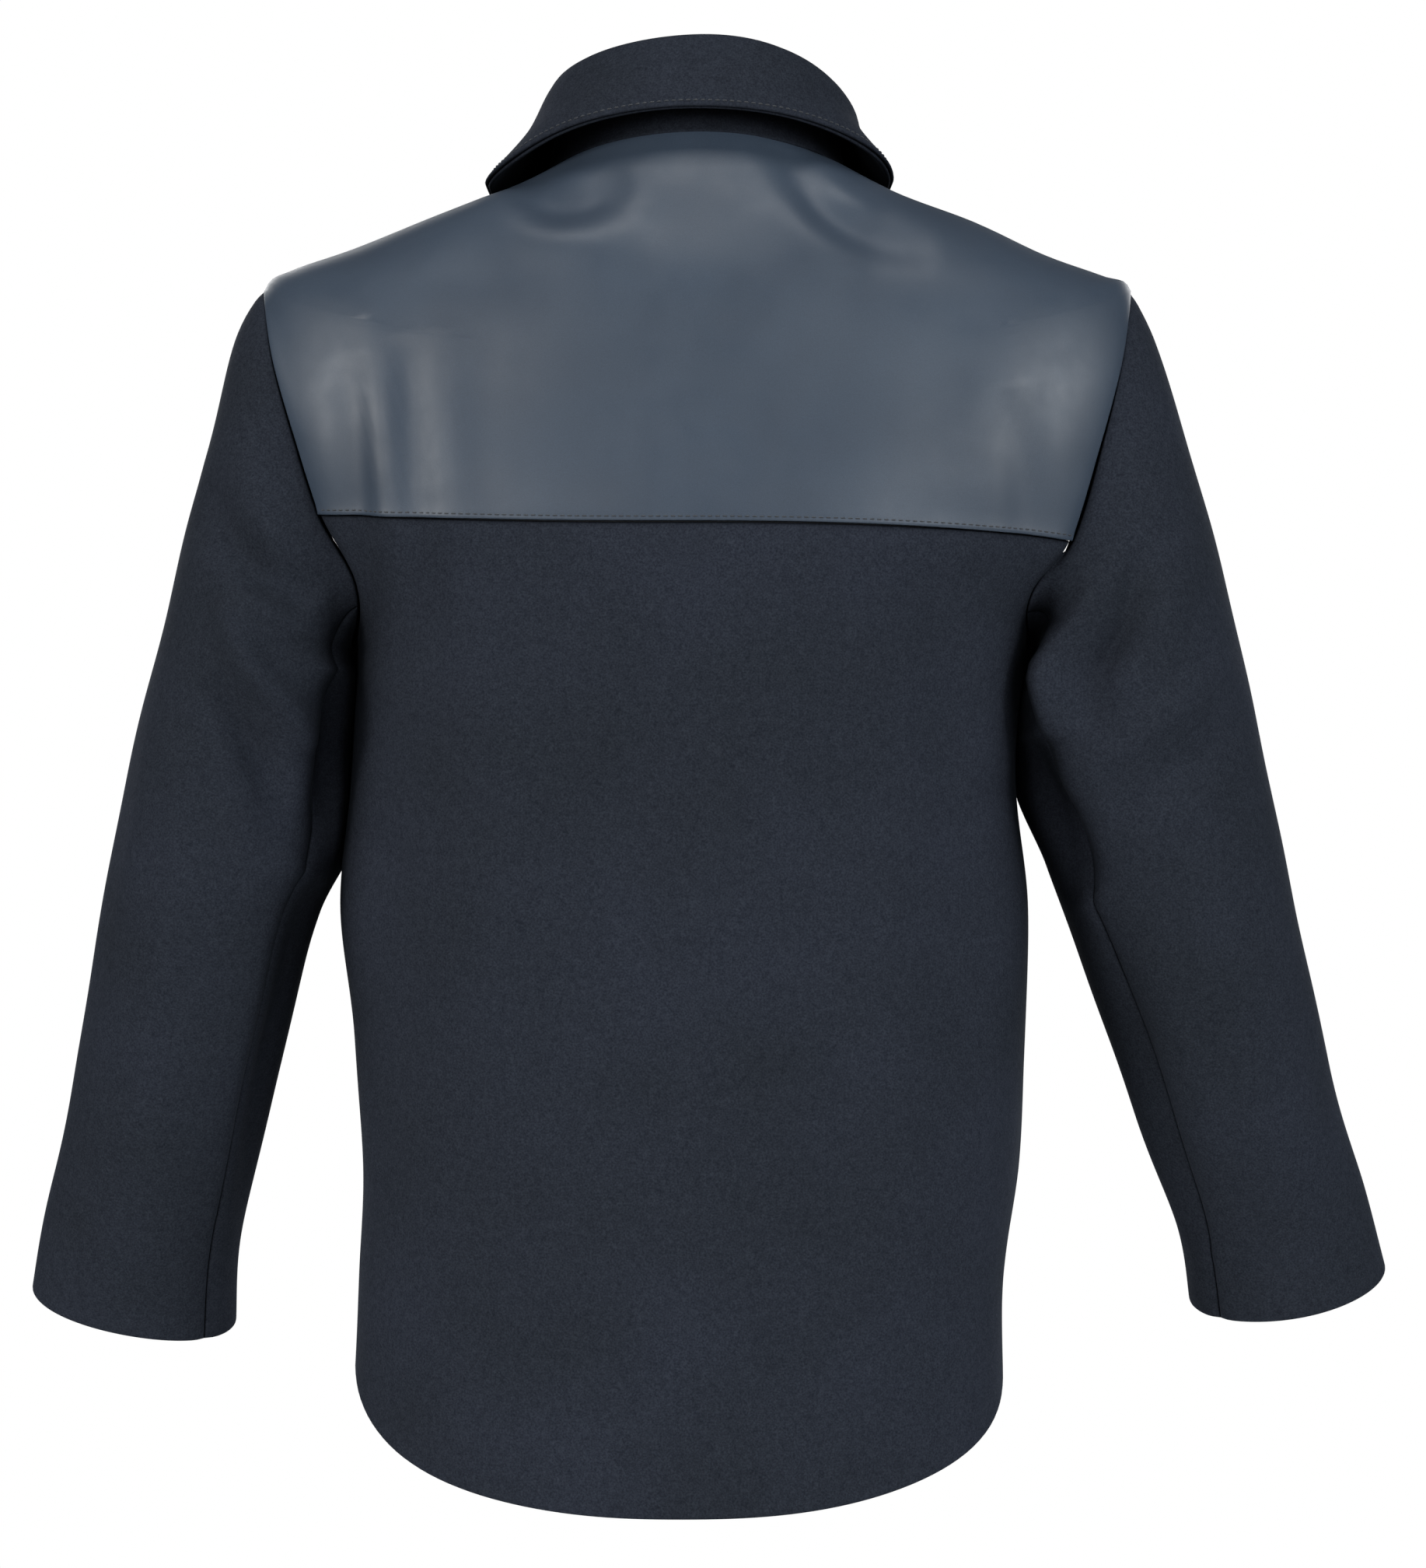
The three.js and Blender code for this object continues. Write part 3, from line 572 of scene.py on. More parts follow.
def area_of(obj):
    return sum(f.area for f in obj.data.polygons) / 2


def declare(obj, held="hung", rests_on=("hang_loop_tape",)):
    """Works out a sheet's area from the finished mesh, and raises its length if that needs more, but keeps
    neither; it removes the cut size that the piece carried.
    """
    width, length = obj["cut"]
    area = area_of(obj)
    length = max(length, area / width / FULLEST_CUT)
    del obj["cut"]


# ---- materials ----------------------------------------------------------------------------------


def settle(node, **values):
    """Sets a node's own sockets by name."""
    for name, value in values.items():
        node.inputs[name.replace("_", " ")].default_value = value


def noise(tree, vector, scale, detail, roughness=0.5):
    made = tree.nodes.new("ShaderNodeTexNoise")
    settle(made, Scale=scale, Detail=detail, Roughness=roughness)
    tree.links.new(vector, made.inputs["Vector"])
    return made.outputs["Fac"]


def grey(value):
    return (value, value, value)


def ramp(tree, value, stops):
    made = tree.nodes.new("ShaderNodeValToRGB")
    elements = made.color_ramp.elements
    while len(elements) < len(stops):
        elements.new(0.5)
    for element, (position, colour) in zip(elements, stops):
        element.position = position
        element.color = (*colour, 1)
    tree.links.new(value, made.inputs["Fac"])
    return made.outputs["Color"]


def mixed(tree, kind, factor, first, second):
    made = tree.nodes.new("ShaderNodeMixRGB")
    made.blend_type = kind
    made.inputs["Fac"].default_value = factor
    tree.links.new(first, made.inputs["Color1"])
    tree.links.new(second, made.inputs["Color2"])
    return made.outputs["Color"]


def bumped(tree, height, strength, distance, under=None):
    made = tree.nodes.new("ShaderNodeBump")
    settle(made, Strength=strength, Distance=distance)
    tree.links.new(height, made.inputs["Height"])
    if under is not None:
        tree.links.new(under, made.inputs["Normal"])
    return made.outputs["Normal"]


def material(name):
    made = bpy.data.materials.new(name)
    made.use_nodes = True
    tree = made.node_tree
    shader = tree.nodes["Principled BSDF"]
    where = tree.nodes.new("ShaderNodeTexCoord").outputs["Object"]
    return made, tree, shader, where


def scaled(tree, vector, scale):
    made = tree.nodes.new("ShaderNodeMapping")
    made.inputs["Scale"].default_value = scale
    tree.links.new(vector, made.inputs["Vector"])
    return made.outputs["Vector"]


def wool():
    """Milled melton: a matted nap with a soft sheen, faintly mottled, its colour darkened by painted shade in
    creases, hollows and under the arms.
    """
    made, tree, shader, where = material("wool")
    broad = noise(tree, where, 9, 3)
    fibre = noise(tree, where, 900, 4, 0.65)
    mat = noise(tree, where, 260, 3, 0.6)
    base = ramp(tree, broad, [(0.3, (0.0215, 0.0258, 0.0348)), (0.7, (0.0268, 0.0318, 0.0455))])
    fleck = ramp(tree, mat, [(0.3, (0.86, 0.86, 0.87)), (0.7, (1.14, 1.14, 1.13))])
    speck = ramp(tree, fibre, [(0.35, (0.7, 0.7, 0.72)), (0.72, (1.5, 1.5, 1.45))])
    colour = mixed(tree, "MULTIPLY", 1.0, base, fleck)
    colour = mixed(tree, "MULTIPLY", 1.0, colour, speck)
    # painted shade: an ambient occlusion node darkens the wool's colour where creases, hollows and the gaps
    # by the body are shaded
    painted_shade_ao = tree.nodes.new("ShaderNodeAmbientOcclusion")
    painted_shade_ao.samples = 6
    painted_shade_ao.inputs["Distance"].default_value = 0.09
    # painted shade: the occlusion becomes a factor, down to 0.06, that multiplies the base colour
    depth = ramp(tree, painted_shade_ao.outputs["AO"], [(0.25, grey(0.06)), (0.85, grey(1))])
    tree.links.new(mixed(tree, "MULTIPLY", 1.0, colour, depth), shader.inputs["Base Color"])
    settle(shader, Roughness=0.95, Specular_IOR_Level=0.04, Sheen_Weight=0.02, Sheen_Roughness=0.5,
           Sheen_Tint=(0.5, 0.62, 0.8, 1))
    normal = bumped(tree, mat, 0.4, 0.0004)
    normal = bumped(tree, fibre, 0.4, 0.0002, normal)
    tree.links.new(normal, shader.inputs["Normal"])
    return made


def hide():
    """Leather-look coated cloth: satin, with a very fine grain and soft clouding."""
    made, tree, shader, where = material("hide")
    cloud = noise(tree, where, 14, 3)
    grain = noise(tree, where, 1500, 3, 0.6)
    base = ramp(tree, cloud, [(0.3, (0.041, 0.059, 0.088)), (0.7, (0.050, 0.072, 0.106))])
    tone = ramp(tree, grain, [(0.3, grey(0.88)), (0.7, grey(1.1))])
    tree.links.new(mixed(tree, "MULTIPLY", 1.0, base, tone), shader.inputs["Base Color"])
    rough = ramp(tree, noise(tree, where, 60, 4), [(0.3, grey(0.43)), (0.7, grey(0.50))])
    tree.links.new(rough, shader.inputs["Roughness"])
    shader.inputs["Specular IOR Level"].default_value = 0.6
    normal = bumped(tree, grain, 0.25, 0.00012)
    normal = bumped(tree, noise(tree, where, 220, 3), 0.12, 0.0003, normal)
    tree.links.new(normal, shader.inputs["Normal"])
    return made


def twill(name, colour, rough, sheen, pitch=0.0009):
    """A fine diagonal weave."""
    made, tree, shader, where = material(name)
    wave = tree.nodes.new("ShaderNodeTexWave")
    wave.bands_direction = "DIAGONAL"
    settle(wave, Scale=0.16 / pitch, Distortion=0.6, Detail=1.5)
    tree.links.new(where, wave.inputs["Vector"])
    dark = tuple(0.7 * c for c in colour)
    base = ramp(tree, wave.outputs["Fac"], [(0.2, dark), (0.8, colour)])
    cloud = ramp(tree, noise(tree, where, 25, 3), [(0.3, grey(0.85)), (0.7, grey(1.1))])
    tree.links.new(mixed(tree, "MULTIPLY", 1.0, base, cloud), shader.inputs["Base Color"])
    settle(shader, Roughness=rough, Sheen_Weight=sheen)
    tree.links.new(bumped(tree, wave.outputs["Fac"], 0.35, 0.0002), shader.inputs["Normal"])
    return made


def horn():
    made, tree, shader, where = material("button")
    streak = noise(tree, scaled(tree, where, (1, 1, 4)), 120, 4, 0.6)
    base = ramp(tree, streak, [(0.35, (0.006, 0.006, 0.007)), (0.75, (0.022, 0.02, 0.02))])
    tree.links.new(base, shader.inputs["Base Color"])
    rough = ramp(tree, noise(tree, where, 400, 3), [(0.3, grey(0.3)), (0.7, grey(0.42))])
    tree.links.new(rough, shader.inputs["Roughness"])
    return made


def thread():
    made, tree, shader, where = material("thread")
    twist = noise(tree, where, 2500, 2)
    base = ramp(tree, twist, [(0.3, (0.016, 0.020, 0.026)), (0.7, (0.040, 0.047, 0.058))])
    tree.links.new(base, shader.inputs["Base Color"])
    settle(shader, Roughness=0.7, Sheen_Weight=0.2)
    tree.links.new(bumped(tree, twist, 0.4, 0.0001), shader.inputs["Normal"])
    return made


MATERIALS = {
    "wool": wool(),
    "hide": hide(),
    "lining": twill("lining", (0.016, 0.018, 0.023), 0.55, 0.1),
    "tape": twill("tape", (0.020, 0.022, 0.027), 0.8, 0.1, 0.0006),
    "label": twill("label", (0.060, 0.066, 0.074), 0.7, 0.1, 0.0005),
    "button": horn(),
    "thread": thread(),
}

# ---- back ---------------------------------------------------------------------------------------

SEAM = 0.012
NECK = -0.12  # the level where the body's layers meet the collar's
ROW = 5.0  # mm between rows of a panel


def add(obj, bodies, *nodes, span=None, sheet=True, **how):
    """Hides the CAD parts that a piece stands for, works out its sheet sizes if it is cloth, and parents it
    to the body it moves with; a piece between two bodies has its transform baked in instead.
    """
    if nodes:
        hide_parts(*nodes)
    if sheet:
        declare(obj, **how)
    if len(bodies) == 2:
        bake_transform(obj)
    else:
        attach(obj, bodies[0])


def both(low):
    return (lambda v: -low(v)), low


def back_edge(level, trim=0.06):
    """Where the back of a layer ends: at the shoulder seam, and lower down at the armhole."""
    return 90 - np.maximum(armhole_reach(level), trim)


def lip(level_of_edge, height, width):
    """A turned edge that stands proud near the level of an edge."""
    return lambda a, b: height * np.exp(-((a - level_of_edge) / width) ** 2)


levels = np.concatenate([
    levels_between("torso", 0, NECK, SHOULDER_TIP, ROW, last=False)[:-1],
    armhole_levels(SHOULDER_TIP, 7.85, 3)[:-1],
    levels_between("torso", 0, 7.85, BACK_YOKE_SEAM - SEAM / 2, 3, first=False),
])
add(cloth("yoke_back", "hide", "torso", *grid("torso", levels, *both(back_edge), 84), HIDE, sink=0.7,
          free=lambda a, b: a > 7.9, proud=lip(8, 0.9, 0.12)),
    ["torso"], "back_yoke")


def wrapped_back(name, slot, top, thick, inset, bottom, count=76):
    """The back below the yoke, which wraps round to the side seams. The column at 90 degrees is there
    twice, behind and before the armhole, and the cells between are open."""
    upper = levels_between("torso", 0, top, 8.6, ROW, last=False)[:-1] if top >= 8 else np.concatenate([
        levels_between("torso", 0, top, SHOULDER_TIP, 9, last=False)[:-1],
        armhole_levels(SHOULDER_TIP, 8.6, 6)[:-1]])
    level = np.concatenate([
        upper,
        armhole_levels(8.6, FRONT_YOKE_SEAM, 4)[:-1],
        armhole_levels(FRONT_YOKE_SEAM, ARMPIT, 4)[:-1],
        levels_between("torso", 0, ARMPIT, bottom, ROW, first=False),
    ])
    near = np.array([0, 0.012, 0.035, 0.08, 0.15, 0.26, 0.42, 0.6, 0.8, 1])
    centre = even_columns("torso", level, *both(lambda v: 90 - armhole_reach(v)), count)
    front = np.minimum(90 + armhole_reach(level), SIDE_SEAM)[:, None]
    strip = front + (SIDE_SEAM - 0.12 - front) * (1 - near[::-1])[None, :]
    strip = np.maximum(strip, front)
    b = np.concatenate([-strip[:, ::-1], centre, strip], axis=1)
    a = np.broadcast_to(level[:, None], b.shape)
    keep = np.ones((b.shape[0] - 1, b.shape[1] - 1), bool)
    w = len(near)
    keep[:, w - 1] = keep[:, -w] = False
    high = level[:-1] < FRONT_YOKE_SEAM - 1e-6
    keep[high, :w - 1] = False
    keep[high, 1 - w:] = False
    return cloth(name, slot, "torso", a, b, thick, inset, keep=keep,
                 free=lambda a, b: a > bottom - 0.01)


add(wrapped_back("back_wool", "wool", BACK_YOKE_SEAM + SEAM / 2, WOOL, 0.0, HEM), ["torso"], "back_panel")
add(wrapped_back("back_lining_cloth", "lining", 1.15, LINING, WOOL + GAP, 15.5, 50),
    ["torso"], "back_lining")

a, b = grid("torso", levels_between("torso", 0, NECK + 0.02, 1.1, ROW), *both(lambda v: back_edge(v, 4)), 40)
add(cloth("neck_facing", "wool", "torso", a, b, FACING, WOOL + GAP), ["torso"], "back_neck_facing")

# ---- fronts -------------------------------------------------------------------------------------


def front_edge(level):
    return front_angle(level, FRONT_GAP / 2)


def facing_edge(level):
    return front_angle(level, FRONT_GAP / 2 + FACING_WIDTH)


def chest_edge(level):
    return 90 + np.maximum(armhole_reach(level), 0.06)


def front_piece(name, slot, side, level, low, high, count, thick, inset=0.0, **how):
    return cloth(name, slot, "torso", *grid("torso", level, low, high, count, side), thick, inset, **how)


CHEST = np.concatenate([
    levels_between("torso", 150, NECK, SHOULDER_TIP, ROW, last=False)[:-1],
    armhole_levels(SHOULDER_TIP, 8.8, 3)[:-1],
    levels_between("torso", 150, 8.8, FRONT_YOKE_SEAM - SEAM / 2, 3, first=False),
])
LOW_FRONT = levels_between("torso", 150, FRONT_YOKE_SEAM + SEAM / 2, HEM, ROW)
FRONT_TURN = ((0, 0, -0.258), (0, 0, -0.426))  # metres; the span given to add for a front's bend away from the yoke

for name, side in SIDES:
    bend = ("torso", f"front_{name}")
    span = FRONT_TURN
    add(front_piece(f"yoke_front_{name}", "hide", side, CHEST, chest_edge, front_edge, 56, HIDE, sink=0.7,
                    free=lambda a, b: a > 8.9 or abs(b) > 170, proud=lip(9, 0.9, 0.1)),
        ["torso"], f"front_yoke_{name}")
    add(front_piece(f"chest_facing_cloth_{name}", "wool", side, CHEST[CHEST > 0.15], facing_edge, front_edge,
                    16, FACING, WOOL + GAP, sink=0.5), ["torso"], f"chest_facing_{name}")
    add(front_piece(f"chest_lining_cloth_{name}", "lining", side, CHEST[CHEST > 0.15], chest_edge,
                    lambda v: facing_edge(v) - 0.3, 30, LINING, WOOL + GAP, sink=0.3),
        ["torso"], f"chest_lining_{name}")
    add(front_piece(f"front_wool_{name}", "wool", side, LOW_FRONT, lambda v: SIDE_SEAM + 0.12, front_edge,
                    56, WOOL, free=lambda a, b: a > 15.99 or abs(b) > 170),
        bend, f"front_panel_{name}", span=span)
    add(front_piece(f"front_facing_cloth_{name}", "wool", side,
                    levels_between("torso", 150, 9.06, 15.85, 8), facing_edge, front_edge,
                    16, FACING, WOOL + GAP, sink=0.5), bend, f"front_facing_{name}", span=span)
    add(front_piece(f"front_lining_cloth_{name}", "lining", side,
                    levels_between("torso", 150, 9.06, 15.5, 8), lambda v: SIDE_SEAM + 0.2,
                    lambda v: facing_edge(v) - 0.3, 30, LINING, WOOL + GAP, sink=0.3),
        bend, f"front_lining_{name}", span=span)

# ---- pockets ------------------------------------------------------------------------------------


def fullness(across, down):
    """How full a patch stands: 0 along its sewn sides and bottom, 1 in the middle and at its mouth."""
    return (np.sqrt(np.maximum(0, np.sin(np.pi * across)))
            * np.sqrt(np.maximum(0, np.cos(np.pi / 2 * down))))


def patch(name, slot, side, top, bottom, low, high, thick, lift, count=34, pitch=4.0):
    a, b = grid("torso", levels_between("torso", 145, top, bottom, pitch), low, high, count, side)

    def stand(a, b):
        down = np.clip((a - top) / (bottom - top), 0, 1)
        lo, hi = low(a), high(a)
        return lift(np.clip((np.abs(b) - lo) / (hi - lo), 0, 1), down)

    return cloth(name, slot, "torso", a, b, thick, -thick - GAP, sink=0, shift=stand,
                 free=lambda a, b: True)


for name, side in SIDES:
    front = f"front_{name}"
    add(patch(f"hip_pocket_cloth_{name}", "wool", side, POCKET["top"], POCKET["bottom"],
              lambda v: front_angle(v, POCKET["outer"]), lambda v: front_angle(v, POCKET["inner"]), WOOL,
              lambda u, d: POCKET["swell"] * fullness(u, d)), [front], f"hip_pocket_{name}")
    add(patch(f"pocket_flap_cloth_{name}", "wool", side, FLAP["top"], FLAP["bottom"],
              lambda v: front_angle(v, FLAP["outer"]), lambda v: front_angle(v, FLAP["inner"]), FLAP["thick"],
              lambda u, d: FLAP["rise"] * smooth(d, -0.02, 0.42)),
        [front, f"flap_{name}"], f"pocket_flap_{name}", span=((0, 0, -0.5235), (0, 0, -0.545)))

level = levels_between("torso", 135, INNER_POCKET["top"], INNER_POCKET["bottom"], 5)
a, b = grid("torso", level, lambda v: INNER_POCKET["start"], lambda v: INNER_POCKET["end"], 24)
add(cloth("inner_pocket_cloth", "lining", "torso", a, b, LINING, INNER_POCKET["depth"], sink=0,
          free=lambda a, b: True,
          shift=lambda a, b: -INNER_POCKET["swell"] * fullness(
              np.clip((b - INNER_POCKET["start"]) / (INNER_POCKET["end"] - INNER_POCKET["start"]), 0, 1),
              np.clip((a - INNER_POCKET["top"]) / (INNER_POCKET["bottom"] - INNER_POCKET["top"]), 0, 1))),
    ["front_left"], "inner_pocket")

# ---- collar -------------------------------------------------------------------------------------


def collar_end(level):
    return 176 - 1.6 * level


for name, inset, node_name in (("collar_top_cloth", 0.0, "top_collar"),
                               ("collar_under_cloth", COLLAR_THICK + GAP, "under_collar")):
    a, b = grid("collar", levels_between("collar", 0, -0.5, 6, 2.6), *both(collar_end), 110)
    add(cloth(name, "wool", "collar", a, b, COLLAR_THICK, inset, sink=0.6, sink_width=3,
              free=lambda a, b: a > 5.95 or abs(b) > collar_end(a) - 0.5),
        ["torso"], node_name)

# ---- sleeves ------------------------------------------------------------------------------------

TOP_SLEEVE = (-120, 140)
UNDER_SLEEVE = (140, 240)
SEAM_TURN = 0.12
for name, side in SIDES:
    zone = f"sleeve_{name}"
    seam = metres([side * 257.0, 0, -84.0])
    out = np.array([side * 0.965, 0, -0.262])
    start = seam + out * 0.004
    span = (tuple(start), tuple(start + out * 0.15))
    pair = ("torso", zone)

    def sleeve_piece(piece, slot, t0, t1, turns, thick, inset, count, pitch=ROW, closed=False, **how):
        level = levels_between(zone, 0, t0, t1, pitch)
        if closed:
            around = np.append(np.linspace(*turns, count + 1)[:-1], turns[0])
            b = np.broadcast_to(around[None, :], (len(level), count + 1))
            a = np.broadcast_to(level[:, None], b.shape)
        else:
            a, b = grid(zone, level, lambda v: turns[0] + SEAM_TURN, lambda v: turns[1] - SEAM_TURN, count)
        return cloth(piece, slot, zone, a, b, thick, inset, **how)

    add(sleeve_piece(f"sleeve_top_cloth_{name}", "wool", -0.025, CUFF, TOP_SLEEVE, WOOL, 0.0, 80,
                     free=lambda a, b: a > 7.99), pair, f"top_sleeve_{name}", span=span)
    add(sleeve_piece(f"sleeve_under_cloth_{name}", "wool", -0.025, CUFF, UNDER_SLEEVE, WOOL, 0.0, 32,
                     free=lambda a, b: a > 7.99), pair, f"under_sleeve_{name}", span=span)
    add(sleeve_piece(f"sleeve_lining_cloth_{name}", "lining", 0.16, 7.25, (-120, 240), LINING, WOOL + GAP,
                     72, 9, closed=True, sink=0), pair, f"sleeve_lining_{name}", span=span)
    add(sleeve_piece(f"cuff_facing_cloth_{name}", "wool", 7.31, 7.95, (-120, 240), FACING, WOOL + GAP,
                     72, 4, closed=True, sink=0), [zone], f"cuff_facing_{name}")

# ---- stitching, loop and label ------------------------------------------------------------------


def tube(stations, radii, sides=6):
    """Vertices and faces of a closed tube through the stations, which are (n, 3) points in mm."""
    stations = np.asarray(stations, float)
    along_it = np.gradient(stations, axis=0)
    along_it /= np.maximum(np.linalg.norm(along_it, axis=1, keepdims=True), 1e-9)
    helper = np.where(np.abs(along_it[:, 1:2]) < 0.9, [[0, 1, 0]], [[1, 0, 0]])
    u = np.cross(along_it, helper)
    u /= np.linalg.norm(u, axis=1, keepdims=True)
    v = np.cross(along_it, u)
    turn = np.arange(sides) * 2 * math.pi / sides
    ring = np.cos(turn)[None, :, None] * u[:, None] + np.sin(turn)[None, :, None] * v[:, None]
    vertices = (stations[:, None] + ring * np.asarray(radii, float)[:, None, None]).reshape(-1, 3)
    faces = [list(range(sides))[::-1], list(range(len(vertices) - sides, len(vertices)))]
    for i in range(len(stations) - 1):
        for k in range(sides):
            m = (k + 1) % sides
            faces.append([i * sides + k, i * sides + m, (i + 1) * sides + m, (i + 1) * sides + k])
    return vertices, faces


def merged(parts):
    vertices, faces, count = [], [], 0
    for v, f in parts:
        vertices.append(v)
        faces += [[i + count for i in face] for face in f]
        count += len(v)
    return np.vstack(vertices), faces


STITCH_PITCH = 4.2
STITCH_LENGTH = 0.78 * STITCH_PITCH
THREAD_RADIUS = 0.42


def stitches(name, zone, a, b, height):
    """A row of lockstitches along a line on the cloth. height is how far the cloth stands out there."""
    point, normal = drape(zone, np.asarray(a, float), np.asarray(b, float))
    s = arc(point)
    parts = []
    for start in np.arange(0.6, s[-1] - STITCH_PITCH, STITCH_PITCH):
        at = start + np.array([0, 0.22, 0.5, 0.78, 1]) * STITCH_LENGTH
        where = np.stack([np.interp(at, s, point[:, k]) for k in range(3)], -1)
        up = np.stack([np.interp(at, s, normal[:, k]) for k in range(3)], -1)
        rise = height + np.array([-0.45, 0.05, 0.16, 0.05, -0.45])
        parts.append(tube(where + up * rise[:, None], np.array([0.3, 0.9, 1, 0.9, 0.3]) * THREAD_RADIUS))
    return new_object(name, *merged(parts), "thread")


STITCH_INSET = 8  # mm from a front's edge


def line(low, high, count=160):
    return np.linspace(low, high, count)


def beside_edge(level, side):
    """The angle of the stitching beside a front's edge."""
    return side * front_angle(level, FRONT_GAP / 2 + STITCH_INSET)


b = line(-1, 1) * float(back_edge(7.92) - 0.8)
add(stitches("yoke_back_stitching", "torso", np.full_like(b, 7.925), b, 0.62), ["torso"], sheet=False)
b = line(-1, 1) * (collar_end(5.8) - 1.5)
add(stitches("collar_stitching", "collar", np.full_like(b, 5.78), b, 0.0), ["torso"], sheet=False)
for name, side in SIDES:
    bend = ("torso", f"front_{name}")
    b = side * line(float(chest_edge(8.93)) + 0.8, float(front_edge(8.93)) - 1.5)
    add(stitches(f"yoke_front_stitching_{name}", "torso", np.full_like(b, 8.93), b, 0.5),
        ["torso"], sheet=False)
    a = line(0.4, 8.85)
    add(stitches(f"yoke_edge_stitching_{name}", "torso", a, beside_edge(a, side), 0.0),
        ["torso"], sheet=False)
    a = line(9.08, 15.85, 320)
    add(stitches(f"front_edge_stitching_{name}", "torso", a, beside_edge(a, side), 0.0),
        bend, span=FRONT_TURN, sheet=False)


def loop_tape(z, share):
    """The loop's tape bows away from the neck facing between its ends, at a share of -100 and 100."""
    x = HANG_LOOP["half"] * share / 100
    facing = FACING_BACK * np.sqrt(1 - (x / FACING_HALF) ** 2)
    y = facing - HANG_LOOP["reach"] * power(np.cos(np.pi / 200 * share), 0.8)
    return np.stack([x + STANCE, y, HANG_LOOP["z"] + z], -1)


ZONES["loop"] = (loop_tape, 1, [], [], 15)
half = HANG_LOOP["height"] / 2
a, b = np.meshgrid(np.array([-1, -0.94, -0.8, -0.4, 0, 0.4, 0.8, 0.94, 1]) * half,
                   line(-99.9, 99.9, 61), indexing="ij")
add(cloth("hang_loop_tape", "tape", "loop", a, b, HANG_LOOP["thick"], sink=0), ["torso"], "hang_loop",
    rests_on=("neck_facing",))
a, b = grid("torso", line(0.5, 1.0, 9), *both(lambda v: 22), 24)
add(cloth("label_cloth", "label", "torso", a, b, LABEL, WOOL + GAP + FACING + LABEL_GAP, sink=0),
    ["torso"], "label", rests_on=("neck_facing",))

# ---- buttons and buttonholes --------------------------------------------------------------------


HOLE_RADIUS = 1.25
HOLE_INSET = 2.6
BUTTON_FLOOR = 3.0  # height of the dished middle of the button's face
ON_SHANK = SHANK_HEIGHT + 0.4


def lathe(profile, sides):
    """A closed turned shape about Z from (radius, height) points that start and end on the axis."""
    vertices, faces, rings = [], [], []
    for radius, z in profile:
        if radius < 1e-6:
            rings.append([len(vertices)] * sides)
            vertices.append((0, 0, z))
        else:
            rings.append(list(range(len(vertices), len(vertices) + sides)))
            turns = [2 * math.pi * k / sides for k in range(sides)]
            vertices += [(radius * math.cos(turn), radius * math.sin(turn), z) for turn in turns]
    for low, high in zip(rings[:-1], rings[1:]):
        for k in range(sides):
            m = (k + 1) % sides
            quad = [low[k], low[m], high[m], high[k]]
            faces.append([v for i, v in enumerate(quad) if v != quad[i - 1]])
    return np.array(vertices, float), faces


def button_shape():
    """A four-hole coat button with a rounded, raised rim."""
    drill, sides = lathe([(0, -2), (HOLE_RADIUS, -2), (HOLE_RADIUS, 7), (0, 7)], 20)
    holes = [(drill + (x * HOLE_INSET, y * HOLE_INSET, 0), sides) for x in (-1, 1) for y in (-1, 1)]
    profile = [(0, 0), (10.5, 0), (12.6, 0.4), (13.7, 1.3), (14, 2.4), (13.7, 3.6), (12.9, 4.4), (12.0, 4.6),
               (11.1, 4.4), (10.2, 3.8), (9.2, 3.4), (7.5, 3.15), (0, BUTTON_FLOOR)]
    made = []
    for vertices, faces in (lathe(profile, 64), merged(holes)):
        mesh = bpy.data.meshes.new("turned")
        mesh.from_pydata(vertices.tolist(), [], faces)
        made.append(bpy.data.objects.new("turned", mesh))
        bpy.context.scene.collection.objects.link(made[-1])
    cut = made[0].modifiers.new("holes", "BOOLEAN")
    cut.operation, cut.solver, cut.object = "DIFFERENCE", "EXACT", made[1]
    solid = made[0].evaluated_get(bpy.context.evaluated_depsgraph_get()).data
    vertices = np.array([v.co for v in solid.vertices])
    faces = [list(f.vertices) for f in solid.polygons]
    for obj in made:
        bpy.data.objects.remove(obj)
    return vertices, faces


def placed(shape, foot, normal):
    """A shape drawn on the XY plane, moved to stand on the cloth."""
    turn = np.array(Vector((0, 0, 1)).rotation_difference(Vector(normal)).to_matrix())
    return shape[0] @ turn.T + foot, shape[1]


def button_thread():
    """The wound shank, and three strands through each pair of holes."""
    top = ON_SHANK + BUTTON_FLOOR
    heights = np.linspace(-0.3, SHANK_HEIGHT + 0.2, 25)
    shank = np.stack([0 * heights, 0 * heights, heights], -1)
    parts = [tube(shank, 2.05 + 0.16 * np.cos(np.arange(25) * math.pi / 2), 16)]
    for y in (-HOLE_INSET, HOLE_INSET):
        for k in (-0.55, 0, 0.55):
            u = np.linspace(-1, 1, 9)
            strand = np.stack([2.75 * u, y + k + 0 * u, top + 0.75 - 1.9 * np.abs(u) ** 4], -1)
            parts.append(tube(strand, np.full(9, 0.33), 8))
    return merged(parts)


def front_level_at(height):
    """The level at which the front edge is at this height."""
    t = np.linspace(0, HEM, 3201)
    return float(np.interp(-height, -body(t, np.full_like(t, 178.0))[:, 2], t))


